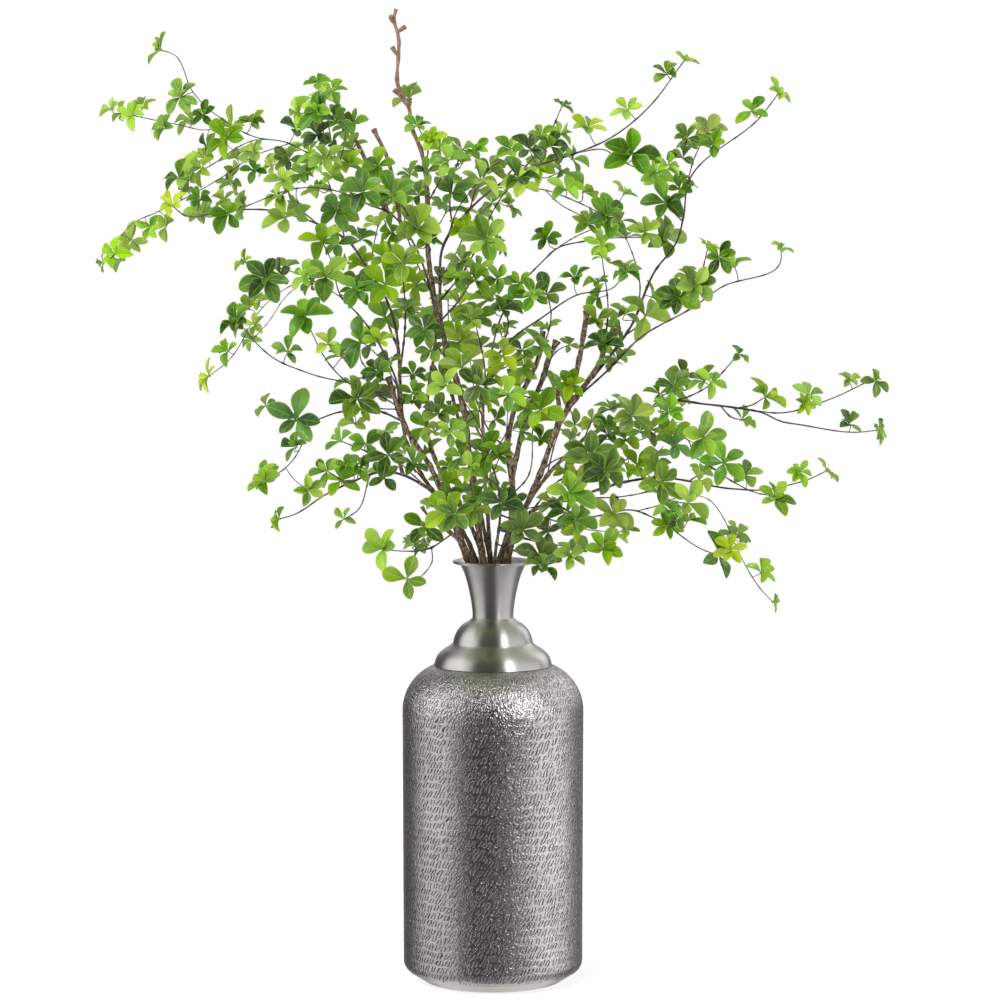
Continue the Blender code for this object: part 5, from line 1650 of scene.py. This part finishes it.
def grow_leaf(whorl, blade, flat, name, angle, reach, lift, half, tints):
    """One leaf: a copy of the blade that points outwards at an angle, lifted towards the whorl's axis."""
    out = whorl.first * math.cos(angle) + whorl.second * math.sin(angle)
    along = (out * math.cos(lift) + whorl.axis * math.sin(lift)).normalized()
    face = (whorl.axis * math.cos(lift) - out * math.sin(lift)).normalized()
    side = along.cross(face)
    local = bent_blade(flat, reach, half, whorl.dice)
    leaf = copied(blade, name, local @ np.array([side, along, face]) + np.array(whorl.middle))
    tint = leaf.data.color_attributes["leaf"]
    colours = np.zeros(len(tint.data) * 4)
    tint.data.foreach_get("color", colours)
    colours = colours.reshape(-1, 4)
    colours[:, 0], colours[:, 2], colours[:, 3] = tints
    tint.data.foreach_set("color", colours.ravel())
    return leaf


def grow_whorl(whorl, slim, blade, flat, name, pale):
    """The leaves of one whorl, placed as in the model, and the young leaves inside it."""
    dice = whorl.dice
    age = dice.random()
    start = dice.uniform(0, math.tau)
    leaves = []
    for i in range(whorl.count):
        angle = math.tau * (i + dice.uniform(-LEAF_STRAY, LEAF_STRAY)) / whorl.count + start
        reach = whorl.length * dice.uniform(*LENGTH_VARIES)
        lift = math.radians(dice.uniform(*LEAF_LIFT))
        half = reach * slim * dice.uniform(*WIDTH_VARIES)
        # Painted light: pale is the whorl's paleness from its place, and goes into each leaf's tints
        tints = (dice.random(), age, pale)
        leaves.append(grow_leaf(whorl, blade, flat, name, angle, reach, lift, half, tints))
    for _ in range(dice.choice(INNER_COUNTS)):
        angle = dice.uniform(0, math.tau)
        reach = whorl.length * dice.uniform(*INNER_LENGTH)
        lift = math.radians(dice.uniform(*INNER_LIFT))
        tints = (dice.uniform(0.5, 1.0), age, pale)
        leaves.append(grow_leaf(whorl, blade, flat, name, angle, reach, lift, reach * slim, tints))
    return leaves


def grow_bud(whorl, bud, shape, name):
    """The bud in the middle of a whorl."""
    spread = np.array([whorl.first, whorl.second, whorl.axis])
    return copied(bud, name, shape * BUD_LENGTH @ spread + np.array(whorl.middle))


# Painted light: whorls at the back and far out are painted paler, standing in for the light that comes
# through
# and round the crown there: how pale one on the vase's axis is, how many metres back make one fully paler,
# and how much paler a metre aside makes one
MIDDLE_PAINTED_LIGHT = 0.43
DEPTH_SPAN = 0.4
OUTER_PAINTED_LIGHT = 0.8


class MakeLeaves(bpy.types.Operator):
    """Grows the leaves of every branch, in whorls round a small bud"""
    bl_idname = "branch_vase.make_leaves"
    bl_label = "Leaves"

    def execute(self, context):
        foliage = settings().foliage
        blade, bud = make_blade(foliage), make_bud()
        blade.data.materials.append(leaf_skin(foliage))
        bud.data.materials.append(bud_skin(foliage))
        flat, shape = coordinates(blade.data), coordinates(bud.data)
        for branch in BRANCHES:
            pieces = []
            for stick in layout()[branch.name]:
                if stick.tip == "cut":
                    continue
                tip = stick.points[-1]
                # Painted light: the whorl's paleness from its place, which its leaves carry in their colour's
                # alpha
                pale = min(1.0, max(0.0, MIDDLE_PAINTED_LIGHT + tip.y / DEPTH_SPAN + abs(tip.x) * OUTER_PAINTED_LIGHT))
                whorl = whorl_on(stick)
                slim = LEAF_WIDTH[stick.tip] / 2
                pieces += grow_whorl(whorl, slim, blade, flat, branch.name + "_leaf", pale)
                pieces.append(grow_bud(whorl, bud, shape, branch.name + "_bud"))
            choose(*pieces)
            bpy.ops.object.join()
            leaves = bpy.context.object
            leaves.name = branch.name + "_leaves"
            leaves.data.name = leaves.name
            finish_piece(leaves, "leaf", branch.name)
        for template in (blade, bud):
            bpy.data.objects.remove(template)
        return {"FINISHED"}


# Marks on leaves and buds: sizes in metres, and places beside the rib as shares of the blade's width
FLECK_SIZE = 0.012
SCALE_SIZE = 0.002
VEIN_DEPTH = 0.0003
VEIN_COUNT = 7.0
VEIN_SLANT = -0.7
RIB_HALF = (0.04, 0.012)
# The pale rim, partly the margin's own colour and partly painted rim light, grows between these shares
PAINTED_RIM_FROM = (0.4, 0.49)

# How light a leaf is: a start, and weights of its own draw, its whorl's age, its whorl's place (painted
# light:
# paler at the back and far out), its flecks and the way to its tip (painted shade: darker at the leaf's base,
# in the whorl's middle)
TONE_START = -0.58
TONE_WEIGHTS = (0.52, 0.72, 0.46, 0.25, 0.3)

# A whorl's hue and how vivid it is: a factor that draws them anew from its age, and their limits
HUE_DRAW = (7.13, 0.472, 0.518)
VIVID_DRAW = (3.71, 0.88, 1.16)

# How plain the rib and veins show, and how much of a leaf's light comes through it
LINE_SHOW = 0.55
GLOW_SHARE = 0.3


def leaf_skin(foliage):
    """A thin soft leaf: waxy and smooth above, paler and duller below, glowing where light comes through."""
    made, tree, shader = new_material("leaf_skin")
    tint = add_node(tree, "ShaderNodeVertexColor", {}, layer_name="leaf")
    parts = add_node(tree, "ShaderNodeSeparateColor", {0: tint})
    own, under_side, age = parts.outputs
    where = add_node(tree, "ShaderNodeTexCoord", {}).outputs["Object"]
    flecks = add_node(tree, "ShaderNodeTexNoise", {"Vector": where, "Scale": 1 / FLECK_SIZE, "Detail": 3.0})
    sheet = add_node(tree, "ShaderNodeUVMap", {}, uv_map="blade")
    across, along, _ = add_node(tree, "ShaderNodeSeparateXYZ", {0: sheet}).outputs
    # Painted light and shade in the tone: paler whorls at the back and far out, darker leaf bases
    tone = TONE_START
    for source, weight in zip((own, age, tint.outputs["Alpha"], flecks, along), TONE_WEIGHTS):
        tone = add_node(tree, "ShaderNodeMath", {0: source, 1: weight, 2: tone}, operation="MULTIPLY_ADD")
    green = add_node(tree, "ShaderNodeValToRGB", {"Fac": tone})
    spread_stops(green, ((0.05, foliage.deep_green), (0.5, foliage.mid_green), (0.95, foliage.young_and_lit_green)))
    shifts = []
    for stride, low, high in (HUE_DRAW, VIVID_DRAW):
        shift = add_node(tree, "ShaderNodeMath", {0: age, 1: stride}, operation="MULTIPLY")
        shift = add_node(tree, "ShaderNodeMath", {0: shift}, operation="FRACT")
        shifts.append(add_node(tree, "ShaderNodeMapRange", {"Value": shift, "To Min": low, "To Max": high}))
    green = add_node(tree, "ShaderNodeHueSaturation", {"Color": green, "Hue": shifts[0],
                                                       "Saturation": shifts[1]})
    off_rib = add_node(tree, "ShaderNodeMath", {0: across, 1: 0.5}, operation="SUBTRACT")
    off_rib = add_node(tree, "ShaderNodeMath", {0: off_rib}, operation="ABSOLUTE")
    rib = add_node(tree, "ShaderNodeMapRange", {"Value": off_rib, "From Min": RIB_HALF[0],
                                                "From Max": RIB_HALF[1]})
    veins = add_node(tree, "ShaderNodeMath", {0: off_rib, 1: VEIN_SLANT, 2: along}, operation="MULTIPLY_ADD")
    veins = add_node(tree, "ShaderNodeMath", {0: veins, 1: VEIN_COUNT}, operation="MULTIPLY")
    veins = add_node(tree, "ShaderNodeMath", {0: veins, 1: 1.0}, operation="PINGPONG")
    veins = add_node(tree, "ShaderNodeMapRange", {"Value": veins, "From Min": 0.22, "From Max": 0.0,
                                                  "To Max": 0.38})
    lines = add_node(tree, "ShaderNodeMath", {0: rib, 1: veins}, operation="MAXIMUM")
    # The pale rim: partly the margin's own colour, partly painted rim light
    edge = add_node(tree, "ShaderNodeMapRange", {"Value": off_rib, "From Min": PAINTED_RIM_FROM[0],
                                                 "From Max": PAINTED_RIM_FROM[1], "To Max": 0.5})
    faint = add_node(tree, "ShaderNodeMath", {0: lines, 1: LINE_SHOW}, operation="MULTIPLY")
    above = green
    for share, shade in ((edge, foliage.young_and_lit_green), (faint, foliage.rib)):
        above = add_node(tree, "ShaderNodeMix", {0: share, COLOUR_A: above, COLOUR_B: (*shade, 1.0)},
                         data_type="RGBA").outputs[COLOUR_OUT]
    below = add_node(tree, "ShaderNodeMix", {0: 0.5, COLOUR_A: above, COLOUR_B: (*foliage.underside, 1.0)},
                     data_type="RGBA").outputs[COLOUR_OUT]
    skin = add_node(tree, "ShaderNodeMix", {0: under_side, COLOUR_A: above, COLOUR_B: below},
                    data_type="RGBA").outputs[COLOUR_OUT]
    rough = add_node(tree, "ShaderNodeMapRange", {"Value": under_side, "To Min": 0.3, "To Max": 0.55})
    relief = add_node(tree, "ShaderNodeBump", {"Height": lines, "Strength": 0.5, "Distance": VEIN_DEPTH},
                      invert=True)
    glow = add_node(tree, "ShaderNodeHueSaturation", {"Color": skin, "Hue": 0.485, "Saturation": 1.1,
                                                      "Value": 1.4})
    through = add_node(tree, "ShaderNodeBsdfTranslucent", {"Color": glow})
    fill_inputs(tree, shader, {"Base Color": skin, "Roughness": rough, "Specular IOR Level": 0.8,
                               "Normal": relief})
    both = add_node(tree, "ShaderNodeMixShader", {0: GLOW_SHARE, 1: shader, 2: through})
    fill_inputs(tree, tree.nodes["Material Output"], {"Surface": both})
    return made


def bud_skin(foliage):
    """A leaf bud: pale green scales, a little glossy."""
    made, tree, shader = new_material("bud_skin")
    where = add_node(tree, "ShaderNodeTexCoord", {}).outputs["Object"]
    scales = add_node(tree, "ShaderNodeTexNoise", {"Vector": where, "Scale": 1 / SCALE_SIZE, "Detail": 2.0})
    tone = add_node(tree, "ShaderNodeValToRGB", {"Fac": scales})
    spread_stops(tone, ((0.35, foliage.mid_green), (0.6, foliage.bud)))
    fill_inputs(tree, shader, {"Base Color": tone, "Roughness": 0.45})
    return made


# What the vase reflects above, beside and below it, by the angle round the studio, in degrees rightwards from
# the camera's side: softboxes between dark walls, and the bright wall behind
UPPER_STUDIO = ((-180, 0.8), (-162, 0.5), (-154, 0.1), (-119, 0.1), (-112, 1.2), (-88, 1.55), (-60, 1.32),
                (-49, 1.05), (-43, 0.08), (27, 0.06), (33, 7.0), (41, 7.0), (46, 0.88), (104, 0.84),
                (110, 0.1), (119, 0.1), (124, 1.5), (148, 1.5), (156, 0.3), (180, 0.8))
SIDE_STUDIO = ((-180, 0.4), (-162, 0.2), (-154, 0.08), (-122, 0.09), (-110, 0.45), (-92, 0.84), (-62, 0.82),
               (-51, 0.64), (-44, 0.05), (16, 0.04), (36, 0.06), (47, 0.18), (54, 1.2), (106, 1.16),
               (116, 0.26), (138, 0.2), (150, 0.1), (180, 0.4))
TABLE_STUDIO = ((-180, 0.8), (-162, 0.5), (-154, 0.12), (-119, 0.12), (-112, 0.37), (-88, 0.48), (-49, 0.42),
                (-42, 0.13), (10, 0.11), (19, 0.52), (27, 0.48), (44, 0.48), (104, 0.46), (110, 0.12),
                (150, 0.12), (180, 0.8))
CEILING = (0.4, 0.43, 0.38, 1.0)
TABLETOP = (0.8, 0.8, 0.8, 1.0)
WHITE = (1.0, 1.0, 1.0, 1.0)

# How steeply up or down a reflection looks, from -1 to 1, where one band gives way to the next
UPPER_BAND = (0.05, 0.23)
TABLE_BAND = (-0.24, -0.32)
CEILING_BAND = (0.8, 0.93)
TABLETOP_BAND = (-0.6, -0.7)
TABLETOP_FADE = 0.2

# The soft light above the front left, in metres
KEY_PLACE = (-1.6, -2.4, 3.2)
KEY_AIM = (0.0, 0.0, 0.8)
KEY_SIZE = 2.2

# How much of the floor's white is its own, and the camera's sensor in millimetres
FLOOR_GLOW = 0.75
SENSOR_WIDTH = 36.0


class MakeStage(bpy.types.Operator):
    """Sets the pale floor, the soft studio light and the camera"""
    bl_idname = "branch_vase.make_stage"
    bl_label = "Stage"

    def execute(self, context):
        studio = settings().studio
        self.make_floor(studio)
        self.make_world(studio)
        self.make_key(studio)
        self.make_camera()
        bpy.context.scene.view_settings.view_transform = "Standard"
        return {"FINISHED"}

    def make_floor(self, studio):
        """A pale floor, bright enough to run into the white behind it. The metal doesn't reflect it."""
        deselect()
        bpy.ops.mesh.primitive_plane_add(size=studio.floor_size, location=(0, 0, 0))
        floor = bpy.context.object
        floor.name = "floor"
        made, tree, shader = new_material("pale_floor")
        fill_inputs(tree, shader, {"Base Color": (*studio.floor_colour, 1.0), "Roughness": 0.9,
                                   "Specular IOR Level": 0.0, "Emission Color": WHITE,
                                   "Emission Strength": FLOOR_GLOW})
        floor.data.materials.append(made)
        floor.visible_glossy = False

    def make_world(self, studio):
        """White behind the object, even light all round, and softboxes between dark walls for what shines."""
        world = bpy.data.worlds.new("studio")
        world.use_nodes = True
        world.cycles.sampling_method = "NONE"
        tree = world.node_tree
        where = add_node(tree, "ShaderNodeTexCoord", {}).outputs["Generated"]
        aside, back, rise = add_node(tree, "ShaderNodeSeparateXYZ", {0: where}).outputs
        front = add_node(tree, "ShaderNodeMath", {0: back, 1: -1.0}, operation="MULTIPLY")
        angle = add_node(tree, "ShaderNodeMath", {0: aside, 1: front}, operation="ARCTAN2")
        around = add_node(tree, "ShaderNodeMath", {0: angle, 1: 1 / math.tau, 2: 0.5},
                          operation="MULTIPLY_ADD")
        ramps = []
        for stops in (SIDE_STUDIO, UPPER_STUDIO, TABLE_STUDIO):
            ramps.append(add_node(tree, "ShaderNodeValToRGB", {"Fac": around}))
            spread_stops(ramps[-1], [(degrees / 360 + 0.5, (level,) * 3) for degrees, level in stops])
        behind = add_node(tree, "ShaderNodeMapRange", {"Value": back, "From Max": TABLETOP_FADE})
        shiny, upper, table = ramps
        for (start, end), light in ((UPPER_BAND, upper), (TABLE_BAND, table), (CEILING_BAND, CEILING),
                                    (TABLETOP_BAND, TABLETOP)):
            share = add_node(tree, "ShaderNodeMapRange", {"Value": rise, "From Min": start, "From Max": end})
            if light is TABLETOP:
                share = add_node(tree, "ShaderNodeMath", {0: share, 1: behind}, operation="MULTIPLY")
            shiny = add_node(tree, "ShaderNodeMix", {0: share, COLOUR_A: shiny, COLOUR_B: light},
                             data_type="RGBA").outputs[COLOUR_OUT]
        path = add_node(tree, "ShaderNodeLightPath", {})
        even = (studio.ambient,) * 3 + (1.0,)
        for ray, light in (("Is Glossy Ray", shiny), ("Is Camera Ray", WHITE)):
            even = add_node(tree, "ShaderNodeMix", {0: path.outputs[ray], COLOUR_A: even, COLOUR_B: light},
                            data_type="RGBA").outputs[COLOUR_OUT]
        fill_inputs(tree, tree.nodes["Background"], {"Color": even})
        bpy.context.scene.world = world

    def make_key(self, studio):
        """A large soft light above the front left."""
        bpy.ops.object.light_add(type="AREA", location=KEY_PLACE)
        key = bpy.context.object
        key.name = "key"
        key.data.size = KEY_SIZE
        key.data.energy = studio.key_power
        key.rotation_euler = (Vector(KEY_AIM) - key.location).to_track_quat("-Z", "Y").to_euler()
        key.visible_glossy = False

    def make_camera(self):
        """The camera at the place that the sheet is drawn from."""
        bpy.ops.object.camera_add(location=(VIEW_SIDE, -VIEW_DISTANCE, VIEW_HEIGHT),
                                  rotation=(math.pi / 2 - VIEW_PITCH, 0, 0))
        camera = bpy.context.object
        camera.data.sensor_width = SENSOR_WIDTH
        camera.data.lens = SHEET_FOCAL / SHEET_WIDTH * SENSOR_WIDTH
        bpy.context.scene.camera = camera


class BranchVasePanel(bpy.types.Panel):
    """Lists the steps that make the object"""
    bl_idname = "VIEW3D_PT_branch_vase"
    bl_label = "Branches in a vase"
    bl_space_type = "VIEW_3D"
    bl_region_type = "UI"
    bl_category = "Branches"

    def draw(self, context):
        for group in (settings().vase, settings().foliage, settings().wood, settings().studio):
            box = self.layout.box()
            for name in group.bl_rna.properties.keys():
                if name not in ("rna_type", "name"):
                    box.prop(group, name)
        for step in STEPS:
            self.layout.operator(step.bl_idname)


STEPS = (MakeStage, MakeFoot, MakeBody, MakeNeck, MakeWood, MakeLeaves)
CLASSES = (VaseSettings, FoliageSettings, WoodSettings, StudioSettings, BranchVaseSettings) + STEPS
CLASSES += (BranchVasePanel,)


def register():
    """Adds the settings, operators and panel to Blender."""
    for kind in CLASSES:
        bpy.utils.register_class(kind)
    bpy.types.Scene.branch_vase = bpy.props.PointerProperty(type=BranchVaseSettings)


def unregister():
    """Takes them out again."""
    del bpy.types.Scene.branch_vase
    for kind in reversed(CLASSES):
        bpy.utils.unregister_class(kind)


def main():
    """Makes the whole scene, one step after another."""
    register()
    bpy.ops.branch_vase.make_stage()
    bpy.ops.branch_vase.make_foot()
    bpy.ops.branch_vase.make_body()
    bpy.ops.branch_vase.make_neck()
    bpy.ops.branch_vase.make_wood()
    bpy.ops.branch_vase.make_leaves()


if __name__ == "__main__":
    main()
